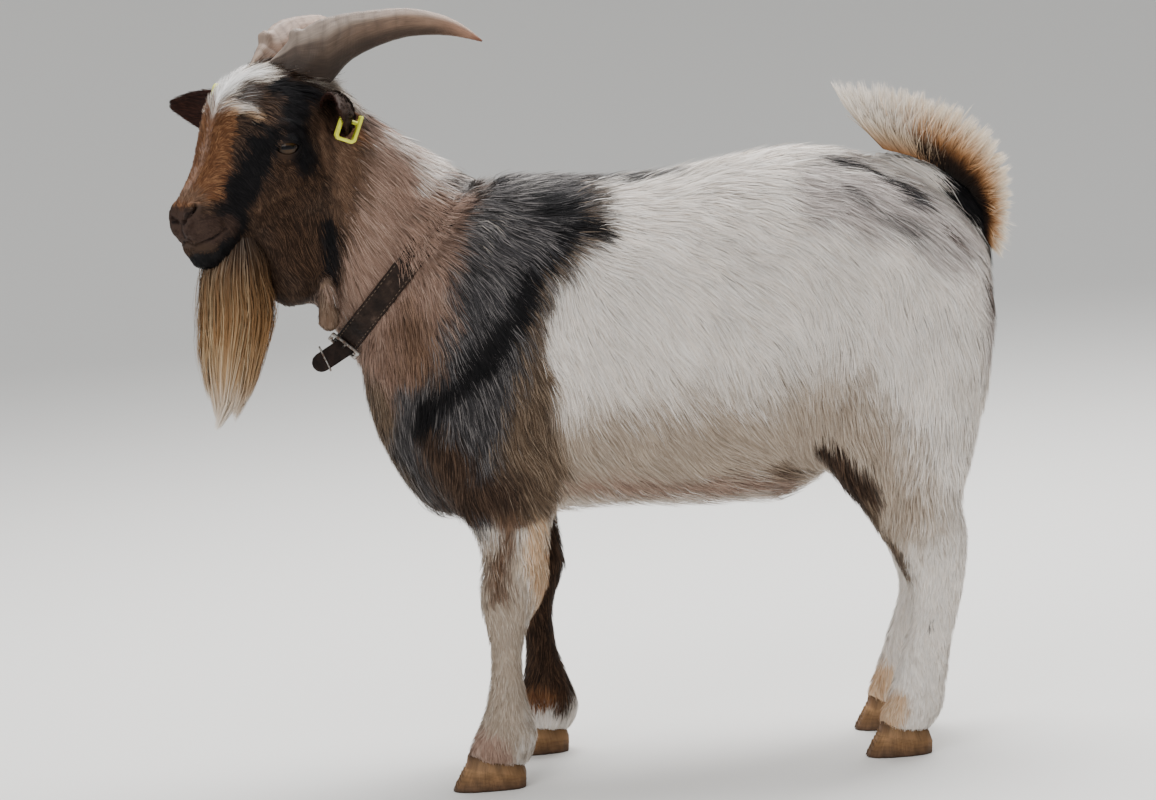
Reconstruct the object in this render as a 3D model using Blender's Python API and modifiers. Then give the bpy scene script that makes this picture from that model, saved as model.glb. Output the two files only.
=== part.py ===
"""A pygmy billy goat standing with its head turned to its left: a still, life-size museum model.

Metres, +Z up, the nose towards -X, the goat's left side towards -Y, the hooves on z = 0.
Every solid is the outer outline of the coat. The animal is one body form, parted by thin cuts.
"""

import math

import bmesh
import bpy
import numpy as np
from mathutils import Matrix, Vector
from mathutils.bvhtree import BVHTree

MM = 0.001

# Driving dimensions -----------------------------------------------------------------------------
CUT_GAP = 0.3 * MM  # left between two pieces that meet
HEAD_TURN = math.radians(38)  # yaw of the head towards the goat's left
HEAD_DROP = math.radians(30)  # slope of the head's long axis below the horizontal
NECK_JOINT = Vector((-0.200, -0.005, 0.0))  # the upright axis that the head turns about
SKULL_BACK = (0.030, 0.610)  # forward of the neck joint, and height, of the head axis's back end
EYE_RADIUS = 12 * MM
HORN_SPREAD = math.radians(26)  # how far each horn swings out from straight back
CLAW_WIDTH = 19 * MM
COLLAR_WIDTH = 22 * MM
COLLAR_THICKNESS = 4 * MM
SIDES = {"left": -1, "right": 1}  # sign of Y

COAT_VOXEL = 6 * MM
HEAD_VOXEL = 4 * MM
BROAD_ABOVE = 270 * MM  # the trunk is smoothed more than the legs below this height


# Scene ------------------------------------------------------------------------------------------
for old in list(bpy.data.objects):
    bpy.data.objects.remove(old, do_unlink=True)

goat = bpy.data.collections.new("goat")
cutters = bpy.data.collections.new("cutters")
for collection in (goat, cutters):
    bpy.context.scene.collection.children.link(collection)


def material(name, colour, roughness, metallic=0.0):
    """A Principled BSDF of one sRGB hex colour."""
    made = bpy.data.materials.new(name)
    made.use_nodes = True
    shader = made.node_tree.nodes["Principled BSDF"]
    channels = [int(colour[i : i + 2], 16) / 255 for i in (1, 3, 5)]
    linear = [c / 12.92 if c <= 0.04045 else ((c + 0.055) / 1.055) ** 2.4 for c in channels]
    shader.inputs["Base Color"].default_value = (*linear, 1)
    shader.inputs["Roughness"].default_value = roughness
    shader.inputs["Metallic"].default_value = metallic
    return made


CREAM_COAT = material("cream_coat", "#CFC5BB", 0.85)
BROWN_COAT = material("brown_coat", "#5E463A", 0.85)
GREY_COAT = material("grey_coat", "#5A5250", 0.85)
BEARD_HAIR = material("beard_hair", "#A8865C", 0.7)
HORN = material("horn", "#A08A7A", 0.55)
HOOF = material("hoof", "#9A7250", 0.6)
EYE = material("eye", "#6B4A26", 0.1)
LEATHER = material("collar_leather", "#3A2D26", 0.6)
STEEL = material("collar_metal", "#8A8580", 0.35, 1.0)
TAG = material("tag_plastic", "#D8DB3C", 0.4)


# Shapes -----------------------------------------------------------------------------------------
def catmull_rom(rows, steps):
    """Smooth rows between the given ones: a Catmull-Rom curve, with steps rows to each interval."""
    rows = np.array(rows, float)
    padded = np.vstack([2 * rows[0] - rows[1], rows, 2 * rows[-1] - rows[-2]])
    smooth = []
    for i in range(len(rows) - 1):
        before, start, end, after = padded[i : i + 4]
        for t in np.arange(steps) / steps:
            smooth.append(
                start
                + 0.5 * t * (end - before)
                + t * t * (before - 2.5 * start + 2 * end - 0.5 * after)
                + t**3 * (1.5 * (start - end) + 0.5 * (after - before))
            )
    return [*smooth, rows[-1]]


def ring(centre, across, up, half_width, reach_up, reach_down, squareness=(2, 2), count=28):
    """Points of a rounded section: half_width to each side, its own reach above and below."""
    points = []
    for k in range(count):
        angle = 2 * math.pi * k / count
        c, s = math.cos(angle), math.sin(angle)
        power = 2 / (squareness[0] if s >= 0 else squareness[1])
        reach = reach_up if s >= 0 else reach_down
        x = math.copysign(abs(c) ** power, c) * half_width
        y = math.copysign(abs(s) ** power, s) * reach
        points.append(Vector(centre) + Vector(across) * x + Vector(up) * y)
    return points


def loft(rings):
    """A closed bmesh through rings of equally many points, its ends closed to their middles."""
    bm = bmesh.new()
    loops = [[bm.verts.new(p) for p in points] for points in rings]
    for a, b in zip(loops, loops[1:]):
        for k in range(len(a)):
            after = (k + 1) % len(a)
            bm.faces.new((a[k], a[after], b[after], b[k]))
    for end in (loops[0], loops[-1]):
        middle = bm.verts.new(sum((v.co for v in end), Vector()) / len(end))
        for k in range(len(end)):
            bm.faces.new((end[k], end[(k + 1) % len(end)], middle))
    bmesh.ops.recalc_face_normals(bm, faces=bm.faces)
    return bm


def ellipsoid(centre, radii, turn=Matrix.Identity(4), segments=24):
    """A closed bmesh ball, stretched to radii and turned about its centre."""
    bm = bmesh.new()
    place = Matrix.Translation(centre) @ turn @ Matrix.Diagonal((*radii, 1))
    bmesh.ops.create_uvsphere(bm, u_segments=segments, v_segments=segments // 2, radius=1, matrix=place)
    return bm


def mesh_object(name, bm, skin=None, home=goat):
    mesh = bpy.data.meshes.new(name)
    bm.to_mesh(mesh)
    bm.free()
    if skin:
        mesh.materials.append(skin)
    made = bpy.data.objects.new(name, mesh)
    home.objects.link(made)
    if home is cutters:
        made.hide_render = True
        made.display_type = "WIRE"
    return made


def applied(obj):
    """The object with its modifiers turned into plain mesh."""
    bpy.context.view_layer.update()
    graph = bpy.context.evaluated_depsgraph_get()
    mesh = bpy.data.meshes.new_from_object(obj.evaluated_get(graph))
    obj.modifiers.clear()
    obj.data = mesh
    return obj


def fused(name, shapes, voxel, smoothing, triangles, broad_smoothing=0):
    """Overlapping closed shapes melted into one smooth form of about that many triangles."""
    joined = bmesh.new()
    for bm in shapes:
        mesh = bpy.data.meshes.new("shape")
        bm.to_mesh(mesh)
        bm.free()
        joined.from_mesh(mesh)
        bpy.data.meshes.remove(mesh)
    form = mesh_object(name, joined, home=cutters)
    melt = form.modifiers.new("melt", "REMESH")
    melt.mode = "VOXEL"
    melt.voxel_size = voxel
    soften = form.modifiers.new("soften", "SMOOTH")
    soften.factor = 0.5
    soften.iterations = smoothing
    applied(form)
    if broad_smoothing:
        broad = form.vertex_groups.new(name="broad")
        for vertex in form.data.vertices:
            share = min(1.0, max(0.0, (vertex.co.z - BROAD_ABOVE) / (40 * MM)))
            broad.add([vertex.index], share, "REPLACE")
        even = form.modifiers.new("even", "SMOOTH")
        even.factor = 0.5
        even.iterations = broad_smoothing
        even.vertex_group = broad.name
        applied(form)
    count = sum(len(p.vertices) - 2 for p in form.data.polygons)
    thin = form.modifiers.new("thin", "DECIMATE")
    thin.ratio = triangles / count
    return applied(form)


def box_cutter(name, centre, size, turn=Matrix.Identity(4), grow=0.0):
    bm = bmesh.new()
    sides = [s + 2 * grow for s in size]
    bmesh.ops.create_cube(bm, size=1, matrix=Matrix.Translation(centre) @ turn @ Matrix.Diagonal((*sides, 1)))
    return mesh_object(name, bm, home=cutters)


def boolean(obj, operation, other):
    cut = obj.modifiers.new(operation.lower(), "BOOLEAN")
    cut.operation = operation
    cut.solver = "EXACT"
    cut.object = other
    return obj


def piece_of(name, form, skin, keep=(), remove=()):
    """A named piece of a form: what lies in all of keep and in none of remove."""
    made = bpy.data.objects.new(name, form.data.copy())
    goat.objects.link(made)
    made.data.materials.clear()
    made.data.materials.append(skin)
    for region in keep:
        boolean(made, "INTERSECT", region)
    for region in remove:
        boolean(made, "DIFFERENCE", region)
    return applied(made)


def swollen(form, name):
    """A copy of a form, three cut gaps larger all round, for trimming what sits on it."""
    made = bpy.data.objects.new(name, form.data.copy())
    cutters.objects.link(made)
    made.hide_render = True
    made.display_type = "WIRE"
    normals = [v.normal.copy() for v in made.data.vertices]
    for vertex, normal in zip(made.data.vertices, normals):
        vertex.co += normal * CUT_GAP * 3
    return made


# Trunk and neck ---------------------------------------------------------------------------------
# Stations from breast to buttock, in mm: x, top, height of the widest line, bottom, half-width,
# squareness above and below that line.
TRUNK_STATIONS = [
    (-197, 440, 394, 350, 30, 2.0, 2.0),  # breast
    (-183, 478, 390, 304, 64, 2.0, 2.0),
    (-145, 530, 386, 244, 94, 1.9, 2.1),  # shoulder
    (-92, 560, 386, 242, 106, 1.6, 2.2),  # withers
    (-30, 557, 386, 240, 114, 1.7, 2.3),
    (35, 549, 384, 241, 125, 2.0, 2.3),  # back
    (100, 549, 382, 237, 131, 2.2, 2.3),  # barrel
    (160, 558, 386, 238, 127, 2.2, 2.2),
    (215, 562, 400, 254, 114, 2.1, 2.1),  # loin
    (265, 554, 418, 296, 103, 2.1, 2.0),
    (315, 531, 430, 338, 90, 2.0, 2.0),  # croup
    (355, 500, 434, 366, 68, 2.0, 2.0),
    (380, 466, 432, 394, 40, 2.0, 2.0),
    (391, 446, 430, 414, 16, 2.0, 2.0),  # buttock
]


def trunk_form():
    rings = []
    for x, top, widest, bottom, half, above, below in catmull_rom(TRUNK_STATIONS, 4):
        centre = Vector((x, 0, widest)) * MM
        rings.append(
            ring(centre, (0, 1, 0), (0, 0, 1), half * MM, (top - widest) * MM, (widest - bottom) * MM, (above, below))
        )
    return loft(rings)


# Stations up the neck, in mm: x, y, z of the middle, slope of the section's up line from the
# vertical in degrees, turn to the left in degrees, half-width, reach to the crest and to the throat.
NECK_STATIONS = [
    (-92, 0, 436, 32, 0, 92, 122, 112),
    (-144, 0, 476, 31, 4, 82, 104, 104),
    (-184, -6, 512, 30, 12, 74, 97, 90),
    (-208, -16, 544, 26, 24, 67, 92, 88),
    (-226, -28, 572, 18, 34, 58, 78, 84),
]


def neck_form():
    rings = []
    for x, y, z, slope, turn, half, crest, throat in catmull_rom(NECK_STATIONS, 4):
        tilt, yaw = math.radians(slope), math.radians(turn)
        up = Vector((math.sin(tilt) * math.cos(yaw), math.sin(tilt) * math.sin(yaw), math.cos(tilt)))
        across = Vector((-math.sin(yaw), math.cos(yaw), 0))
        rings.append(ring(Vector((x, y, z)) * MM, across, up, half * MM, crest * MM, throat * MM))
    return loft(rings)


# Legs -------------------------------------------------------------------------------------------
# Stations down a leg, in mm: height, x of the front and of the back outline, middle y, half-width.
FORELEG_STATIONS = [
    (410, -152, -30, 60, 30),
    (340, -156, -12, 70, 36),  # upper arm
    (285, -138, -6, 73, 36),  # elbow
    (248, -114, -26, 72, 31),
    (212, -102, -33, 71, 26),  # forearm
    (178, -108, -37, 70, 26),  # knee
    (150, -103, -56, 70, 22),
    (118, -100, -66, 70, 19),  # cannon
    (84, -106, -65, 70, 21),
    (58, -116, -58, 70, 25),  # fetlock
    (34, -130, -60, 70, 25),  # pastern
    (10, -140, -72, 70, 23),
]
HINDLEG_STATIONS = [
    (480, 262, 366, 34, 32),
    (430, 236, 388, 46, 44),  # hip
    (370, 216, 384, 57, 52),  # thigh
    (310, 207, 368, 63, 49),  # stifle
    (262, 218, 355, 64, 39),
    (228, 243, 343, 64, 31),  # gaskin
    (200, 262, 347, 63, 26),  # hock
    (168, 277, 344, 61, 24),
    (138, 286, 337, 60, 21),
    (108, 277, 328, 60, 20),  # cannon
    (78, 265, 321, 60, 22),
    (52, 256, 316, 60, 25),  # fetlock
    (32, 246, 306, 60, 26),  # pastern
    (10, 238, 296, 60, 24),
]


def fore_stride(height, side):
    """The right foreleg stands further back, and more so towards its hoof."""
    lean = 1 - min(1.0, height / 256) ** 1.6
    return 40 * lean if side > 0 else 0.0


def leg_form(stations, side, stride=None):
    rings = []
    for height, front, back, middle, half in catmull_rom(stations, 4):
        shift = stride(height, side) if stride else 0.0
        centre = Vector(((front + back) / 2 + shift, side * middle, height)) * MM
        reach = (back - front) / 2 * MM
        rings.append(ring(centre, (0, 1, 0), (1, 0, 0), half * MM, reach, reach, (2.3, 2.3), 20))
    return loft(rings)


def dewclaws(x, side, middle):
    """The two small back toes behind a fetlock."""
    return [
        ellipsoid(Vector((x, side * middle + offset, 40)) * MM, (9 * MM, 7 * MM, 10 * MM), segments=12)
        for offset in (-13, 13)
    ]


# Head -------------------------------------------------------------------------------------------
HEAD = Matrix.Translation(NECK_JOINT) @ Matrix.Rotation(math.pi + HEAD_TURN, 4, "Z")
AXIS = Vector((math.cos(HEAD_DROP), 0, -math.sin(HEAD_DROP)))
BROW = Vector((math.sin(HEAD_DROP), 0, math.cos(HEAD_DROP)))


def head_place(along, aside, above):
    """A place in the head, in mm: along its axis from the back of the skull, to its left, above the axis."""
    back = Vector((SKULL_BACK[0], 0, SKULL_BACK[1]))
    return HEAD @ (back + (AXIS * along + Vector((0, 1, 0)) * aside + BROW * above) * MM)


def head_direction(along, aside, above):
    return (HEAD.to_3x3() @ (AXIS * along + Vector((0, 1, 0)) * aside + BROW * above)).normalized()


# Stations along the head, in mm: along, reach above and below the axis's widest line, height of
# that line, half-width, squareness above and below.
HEAD_STATIONS = [
    (-28, 44, 40, 6, 38, 2.0, 2.0),
    (-8, 62, 50, 8, 50, 2.0, 2.0),  # poll
    (20, 71, 56, 8, 55, 2.0, 2.1),
    (46, 70, 58, 10, 58, 2.1, 2.0),  # eyes
    (70, 66, 55, 8, 57, 2.1, 2.0),
    (91, 54, 48, 6, 47, 2.1, 2.0),
    (112, 41, 43, 2, 36, 2.1, 2.1),  # bridge
    (131, 34, 39, -2, 29, 2.2, 2.2),
    (147, 29, 38, -4, 27, 2.2, 2.2),  # nostrils
    (159, 20, 37, -6, 23, 2.1, 2.1),
    (167, 6, 28, -10, 14, 2.0, 2.0),  # lips
]


def head_form():
    across = head_direction(0, 1, 0)
    up = head_direction(0, 0, 1)
    rings = []
    for along, above, below, widest, half, square_up, square_down in catmull_rom(HEAD_STATIONS, 4):
        centre = head_place(along, 0, widest)
        rings.append(ring(centre, across, up, half * MM, above * MM, below * MM, (square_up, square_down)))
    return loft(rings)


def head_masses():
    """Cheeks, brows, nose, chin and the ruff of the throat that stand out from the plain head."""
    turn = HEAD.to_3x3().to_4x4() @ Matrix.Rotation(HEAD_DROP, 4, "Y")
    masses = []
    for aside in (-1, 1):
        masses.append(ellipsoid(head_place(38, 28 * aside, -30), (42 * MM, 24 * MM, 34 * MM), turn))
        masses.append(ellipsoid(head_place(56, 42 * aside, 29), (22 * MM, 17 * MM, 14 * MM), turn))
        masses.append(ellipsoid(head_place(151, 14 * aside, 9), (14 * MM, 12 * MM, 13 * MM), turn))
    masses.append(ellipsoid(head_place(40, 0, 58), (44 * MM, 38 * MM, 26 * MM), turn))
    masses.append(ellipsoid(head_place(154, 0, -28), (18 * MM, 19 * MM, 15 * MM), turn))
    # The throat's hair: forward of the neck joint, aside and up, and its radii, in mm.
    for place, radii in (
        ((60, 2, 488), (38, 34, 42)),
        ((74, 0, 520), (40, 34, 30)),
        ((40, 22, 548), (34, 30, 46)),
        ((40, -22, 548), (34, 30, 46)),
    ):
        masses.append(ellipsoid(HEAD @ (Vector(place) * MM), Vector(radii) * MM, HEAD.to_3x3().to_4x4()))
    return masses


# Body -------------------------------------------------------------------------------------------
def shoulder_and_thigh(side):
    """The shoulder blade's and the thigh's masses, which lean in towards the spine."""
    lean_in = Matrix.Rotation(side * math.radians(11), 4, "X")
    lean_back = Matrix.Rotation(math.radians(-18), 4, "Y")
    lean_forward = Matrix.Rotation(math.radians(14), 4, "Y")
    return [
        ellipsoid(Vector((-92, side * 66, 392)) * MM, (72 * MM, 42 * MM, 112 * MM), lean_in @ lean_back),
        ellipsoid(Vector((303, side * 54, 396)) * MM, (84 * MM, 46 * MM, 104 * MM), lean_in @ lean_forward),
    ]


def sheath():
    """The tufted sheath under the belly of a male."""
    turn = Matrix.Rotation(math.radians(12), 4, "Y")
    return ellipsoid(Vector((160, 0, 250)) * MM, (38 * MM, 20 * MM, 21 * MM), turn)


def body_shapes():
    shapes = [trunk_form(), neck_form(), head_form(), *head_masses(), sheath()]
    for side in SIDES.values():
        shapes.append(leg_form(FORELEG_STATIONS, side, fore_stride))
        shapes.append(leg_form(HINDLEG_STATIONS, side))
        shapes += shoulder_and_thigh(side)
        shapes += dewclaws(-62 + fore_stride(40, side), side, 70)
        shapes += dewclaws(309, side, 60)
    return shapes


body = fused("body_form", body_shapes(), COAT_VOXEL, 5, 2400, broad_smoothing=9)
skull = fused("head_whole", [head_form(), neck_form(), *head_masses()], HEAD_VOXEL, 10, 1200)
body_clear = swollen(body, "body_clear")
skull_clear = swollen(skull, "skull_clear")
body_skin = BVHTree.FromPolygons([v.co for v in body.data.vertices], [p.vertices for p in body.data.polygons])
skull_skin = BVHTree.FromPolygons([v.co for v in skull.data.vertices], [p.vertices for p in skull.data.polygons])


def reach(skin, inside, direction):
    """The distance from a place inside a form to its surface."""
    return skin.ray_cast(inside, direction)[3]


# Regions that part the body. Each is a box, and what meets it is cut by the same box one gap larger.
COLLAR_MIDDLE = Vector((-0.166, -0.002, 0.456))
COLLAR_UP = Vector((0.673, 0.0, 0.740))
COLLAR_OUT = Vector((-0.740, 0.0, 0.673))


def facing(out):
    """A turn whose +Z points along out."""
    return out.to_track_quat("Z", "Y").to_matrix().to_4x4()


FAR = 0.6  # reaches past the whole goat
HEAD_CUT_MIDDLE = Vector((-0.206, -0.015, 0.560))
HEAD_CUT_OUT = Vector((-0.88, -0.34, 0.33)).normalized()


def half_space(name, middle, out, grow=0.0):
    """A box that holds all that lies on the out side of a plane."""
    return box_cutter(name, middle + out * (FAR / 2 - grow), (2 * FAR, 2 * FAR, FAR), facing(out))


def region(name, low, high, turn=0.0):
    """A box between two corners in mm, turned about Y through its middle, and its larger twin."""
    low, high = Vector(low) * MM, Vector(high) * MM
    size = [abs(h - l) for l, h in zip(low, high)]
    rotation = Matrix.Rotation(math.radians(turn), 4, "Y")
    return tuple(
        box_cutter(name + tail, (low + high) / 2, size, rotation, grow)
        for tail, grow in (("", 0.0), ("_clear", CUT_GAP))
    )


neck_side = half_space("neck_side", COLLAR_MIDDLE, COLLAR_OUT)
neck_side_clear = half_space("neck_side_clear", COLLAR_MIDDLE, COLLAR_OUT, CUT_GAP)
head_side = half_space("head_side", HEAD_CUT_MIDDLE, HEAD_CUT_OUT)
head_side_clear = half_space("head_side_clear", HEAD_CUT_MIDDLE, HEAD_CUT_OUT, CUT_GAP)

FOOT_PLANES = {"fore": ((-140, 27), (-74, 13)), "hind": ((238, 27), (297, 13))}  # coronet: toe, heel (x, z) mm


def stride_of(limb, side):
    """How far back a foot stands of its plain place, in mm."""
    return fore_stride(10, side) if limb == "fore" else 0.0


def below_coronet(limb, side, lift=0.0):
    """A box that holds what lies below the slanted top edge of one foot's claws, raised by lift."""
    (toe, toe_z), (heel, heel_z) = FOOT_PLANES[limb]
    slope = math.atan2(toe_z - heel_z, heel - toe)
    down = Vector((-math.sin(slope), 0, -math.cos(slope)))
    middle = Vector(((toe + heel) / 2 + stride_of(limb, side), side * 80, (toe_z + heel_z) / 2)) * MM
    size = (160 * MM, 150 * MM, 80 * MM)
    return box_cutter(f"coronet_{limb}_{side}", middle + down * (size[2] / 2 - lift), size, facing(down))


# The boxes of the upper legs, low and high corners on the goat's left, in mm, and their turn about Y.
UPPER_LEG = {"fore": ((-190, 38, 60), (12, 150, 264), 0), "hind": ((178, 4, 60), (420, 150, 352), 24)}
LOWER_LEG_TOP = {"fore": 186, "hind": 214}
LIMB_SPAN = {"fore": (-190, 40), "hind": (160, 420)}


def leg_regions(limb, side):
    """The box of a leg's upper part, and of all below its knee or hock, each with its larger twin."""
    (x0, y0, z0), (x1, y1, z1), turn = UPPER_LEG[limb]
    longer = 40 if limb == "fore" and side > 0 else 0
    ys = sorted((side * y0, side * y1))
    upper = region(f"upper_{limb}_{side}", (x0, ys[0], z0), (x1 + longer, ys[1], z1), turn)
    front, back = LIMB_SPAN[limb]
    ys = sorted((0.0, side * 150))
    lower = region(f"lower_{limb}_{side}", (front, ys[0], -40), (back, ys[1], LOWER_LEG_TOP[limb]))
    return upper, lower


# Collar -----------------------------------------------------------------------------------------
COLLAR_STEPS = 36
BUCKLE_ANGLE = math.radians(151)  # round the neck from its crest, over the left side
TONGUE_ALONG = Vector((-0.86, -0.16, -0.47)).normalized()
TONGUE_SIZE = (40, 18, 3)  # mm: free length, width, thickness


def collar_direction(angle):
    return COLLAR_UP * math.cos(angle) + Vector((0, -1, 0)) * math.sin(angle)


def collar_reaches():
    """The coat's reach in the collar's plane at even steps round the neck, evened out."""
    angles = [2 * math.pi * k / COLLAR_STEPS for k in range(COLLAR_STEPS)]
    raw = [reach(body_skin, COLLAR_MIDDLE, collar_direction(a)) for a in angles]
    for _ in range(6):
        raw = [(raw[k - 1] + 2 * raw[k] + raw[(k + 1) % COLLAR_STEPS]) / 4 for k in range(COLLAR_STEPS)]
    return raw


COLLAR_REACH = collar_reaches()


def collar_height(angle):
    """How far the strap's outer face stands from the coat: sunk under the mane at the crest."""
    return (-2.5 - 4.5 * math.cos(angle)) * MM + 1.0 * MM


def collar_place(angle, height, along=0.0):
    """A place over the strap's outer face: angle round the neck, height over it, along the neck."""
    step = angle / (2 * math.pi) * COLLAR_STEPS
    low = int(step)
    share = step - low
    reached = COLLAR_REACH[low % COLLAR_STEPS] * (1 - share) + COLLAR_REACH[(low + 1) % COLLAR_STEPS] * share
    out = collar_direction(angle)
    return COLLAR_MIDDLE + out * (reached + collar_height(angle) + height) + COLLAR_OUT * along


def collar_ring(name, low, high, half, skin=None, home=goat):
    """A closed band round the neck between two heights over the strap's outer face."""
    bm = bmesh.new()
    corners = ((low, -half), (high, -half), (high, half), (low, half))
    loops = []
    for k in range(COLLAR_STEPS):
        angle = 2 * math.pi * k / COLLAR_STEPS
        loops.append([bm.verts.new(collar_place(angle, height, along)) for height, along in corners])
    for k in range(COLLAR_STEPS):
        a, b = loops[k], loops[(k + 1) % COLLAR_STEPS]
        for i in range(4):
            bm.faces.new((a[i], a[(i + 1) % 4], b[(i + 1) % 4], b[i]))
    bmesh.ops.recalc_face_normals(bm, faces=bm.faces)
    return mesh_object(name, bm, skin, home)


def slab(outline, thickness, place):
    """A flat plate: its outline in mm in the place's XY plane, its thickness along Z."""
    bm = bmesh.new()
    face = bm.faces.new([bm.verts.new((u * MM, v * MM, -thickness / 2 * MM)) for u, v in outline])
    grown = bmesh.ops.extrude_face_region(bm, geom=[face])
    verts = [g for g in grown["geom"] if isinstance(g, bmesh.types.BMVert)]
    bmesh.ops.translate(bm, verts=verts, vec=(0, 0, thickness * MM))
    bmesh.ops.recalc_face_normals(bm, faces=bm.faces)
    bmesh.ops.triangulate(bm, faces=[f for f in bm.faces if len(f.verts) > 4])
    bmesh.ops.transform(bm, matrix=place, verts=bm.verts)
    return bm


def axes(origin, u, v):
    """A matrix that puts X along u and Y as near v as it can be, at origin."""
    u = u.normalized()
    w = u.cross(v).normalized()
    turn = Matrix((u, w.cross(u), w)).transposed().to_4x4()
    return Matrix.Translation(origin) @ turn


def collar_cutters():
    groove = collar_ring("groove", -COLLAR_THICKNESS - CUT_GAP, 40 * MM, COLLAR_WIDTH / 2 + CUT_GAP, home=cutters)
    out = collar_direction(BUCKLE_ANGLE)
    middle = collar_place(BUCKLE_ANGLE, 19.7 * MM)
    place = axes(middle, COLLAR_OUT, out.cross(COLLAR_OUT)).to_3x3().to_4x4()
    room = box_cutter("buckle_room", middle, (38 * MM, 26 * MM, 40 * MM), place)
    return groove, room


def collar_strap():
    collar_ring("collar_strap", -COLLAR_THICKNESS, 0.0, COLLAR_WIDTH / 2, LEATHER)


def round_ended(length, width, steps=6):
    """An outline from x = 0 to length, square at the start and round at the end."""
    half = width / 2
    arc = [math.pi / 2 - math.pi * k / steps for k in range(steps + 1)]
    end = [(length - half + half * math.cos(a), half * math.sin(a)) for a in arc]
    return [(0, half), *end, (0, -half)]


def collar_buckle():
    """A flat metal frame across the strap."""
    out = collar_direction(BUCKLE_ANGLE)
    place = axes(collar_place(BUCKLE_ANGLE, CUT_GAP + 1.5 * MM), COLLAR_OUT, out.cross(COLLAR_OUT))
    frame = mesh_object("collar_buckle", slab([(-16, -9), (16, -9), (16, 9), (-16, 9)], 3, place), STEEL)
    hole = slab([(-12, -5.5), (12, -5.5), (12, 5.5), (-12, 5.5)], 12, place)
    boolean(frame, "DIFFERENCE", mesh_object("buckle_hole", hole, home=cutters))
    bevel = frame.modifiers.new("round", "BEVEL")
    bevel.width = 0.8 * MM
    bevel.segments = 1
    return applied(frame)


def collar_tongue(strap_clear):
    """The strap's free end, which stands off the throat past the buckle."""
    length, width, thickness = TONGUE_SIZE
    start = collar_place(BUCKLE_ANGLE, 5.6 * MM) - TONGUE_ALONG * 9 * MM
    out = Vector((-0.25, -0.95, 0.1))
    place = axes(start, TONGUE_ALONG, out.cross(TONGUE_ALONG))
    tongue = mesh_object("collar_tongue", slab(round_ended(length, width), thickness, place), LEATHER)
    for other in strap_clear:
        boolean(tongue, "DIFFERENCE", other)
    return applied(tongue)


# Horns ------------------------------------------------------------------------------------------
HORN_BASE = (58, 22)  # mm forward of the neck joint, and aside
# Stations along a horn, in mm: distance out along its swing, height, fore-aft thickness, width.
HORN_STATIONS = [
    (-14, 630, 58, 30),
    (0, 652, 58, 30),
    (28, 678, 54, 30),
    (49, 688, 45, 27),
    (77, 694, 35, 23),
    (108, 697, 28, 19),
    (139, 692, 20, 14),
    (159, 684, 12, 9),
    (176, 674, 3, 3),
]
HORN_KNOBS = ((-17, 666, 8), (7, 692, 9))  # on the front edge: distance out, height, radius, mm


def horn(name, side):
    """A horn that sweeps up, back and out, keeled in front, with two knobs on the keel near its base."""
    aside = -side  # the goat's left is -Y in the world and + aside in the head
    out = HEAD.to_3x3() @ Vector((-math.cos(HORN_SPREAD), aside * math.sin(HORN_SPREAD), 0))
    across = Vector((0, 0, 1)).cross(out)
    base = HEAD @ (Vector((HORN_BASE[0], aside * HORN_BASE[1], 0)) * MM)
    rows = catmull_rom(HORN_STATIONS, 2)
    rings = []
    for k, (distance, height, thick, width) in enumerate(rows):
        before, after = rows[max(0, k - 1)], rows[min(len(rows) - 1, k + 1)]
        along = (out * (after[0] - before[0]) + Vector((0, 0, 1)) * (after[1] - before[1])).normalized()
        front = across.cross(along) * -1
        if front.z < 0:
            front = -front
        centre = base + (out * distance + Vector((0, 0, 1)) * height) * MM
        half = thick / 2 * MM
        rings.append(ring(centre, across, front, width / 2 * MM, half, half, (1.5, 2.2), 10))
    made = mesh_object(name, loft(rings), HORN)
    for number, (distance, height, radius) in enumerate(HORN_KNOBS):
        centre = base + (out * distance + Vector((0, 0, 1)) * height) * MM
        knob = ellipsoid(centre, (radius * MM, radius * 0.8 * MM, radius * MM), segments=6)
        boolean(made, "UNION", mesh_object(f"knob_{number}_{side}", knob, home=cutters))
    boolean(made, "DIFFERENCE", skull_clear)
    return applied(made)


# Ears and tags ----------------------------------------------------------------------------------
EAR_ASIDE = 46  # mm from the head's middle to an ear's base
# Each ear's base in mm forward of the neck joint and up, its swing forward and its rise in degrees,
# and the scale of its height.
EAR_POSES = {"left": (33, 618, 33, 3, 1.0), "right": (30, 605, 30, 16, 1.25)}
# Stations out along an ear, in mm: distance, half-height, depth of the cup, and the angles in
# degrees between which its wall bends, 0 being the back of the cup and 90 its top.
EAR_STATIONS = [
    (0, 12, 13, -135, 140),
    (20, 16, 16, -110, 130),
    (48, 20, 16, -80, 112),
    (76, 19, 12, -66, 92),
    (100, 12, 8, -58, 72),
    (117, 4, 3, -45, 50),
]
EAR_WALL = 2.6  # mm


def ear_frame(side):
    """Base, out, up and open-side directions of an ear."""
    aside = -side
    turn = HEAD.to_3x3()
    ahead_of_joint, height, swing, rise, scale = EAR_POSES["left" if side < 0 else "right"]
    base = HEAD @ (Vector((ahead_of_joint, aside * EAR_ASIDE, height)) * MM)
    swing, rise = math.radians(swing), math.radians(rise)
    level = Vector((math.sin(swing), aside * math.cos(swing), 0)) * math.cos(rise)
    out = turn @ (level + Vector((0, 0, math.sin(rise))))
    ahead = turn @ Vector((1, 0, -0.12))
    opening = (ahead - out * ahead.dot(out)).normalized()
    up = out.cross(opening)
    if up.z < 0:
        up = -up
    return base, out, up * scale, opening


def ear_place(side, row, angle):
    base, out, up, opening = ear_frame(side)
    distance, height, depth = row[:3]
    place = out * distance + up * (height * math.sin(angle)) - opening * (depth * math.cos(angle))
    return base + place * MM


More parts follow.
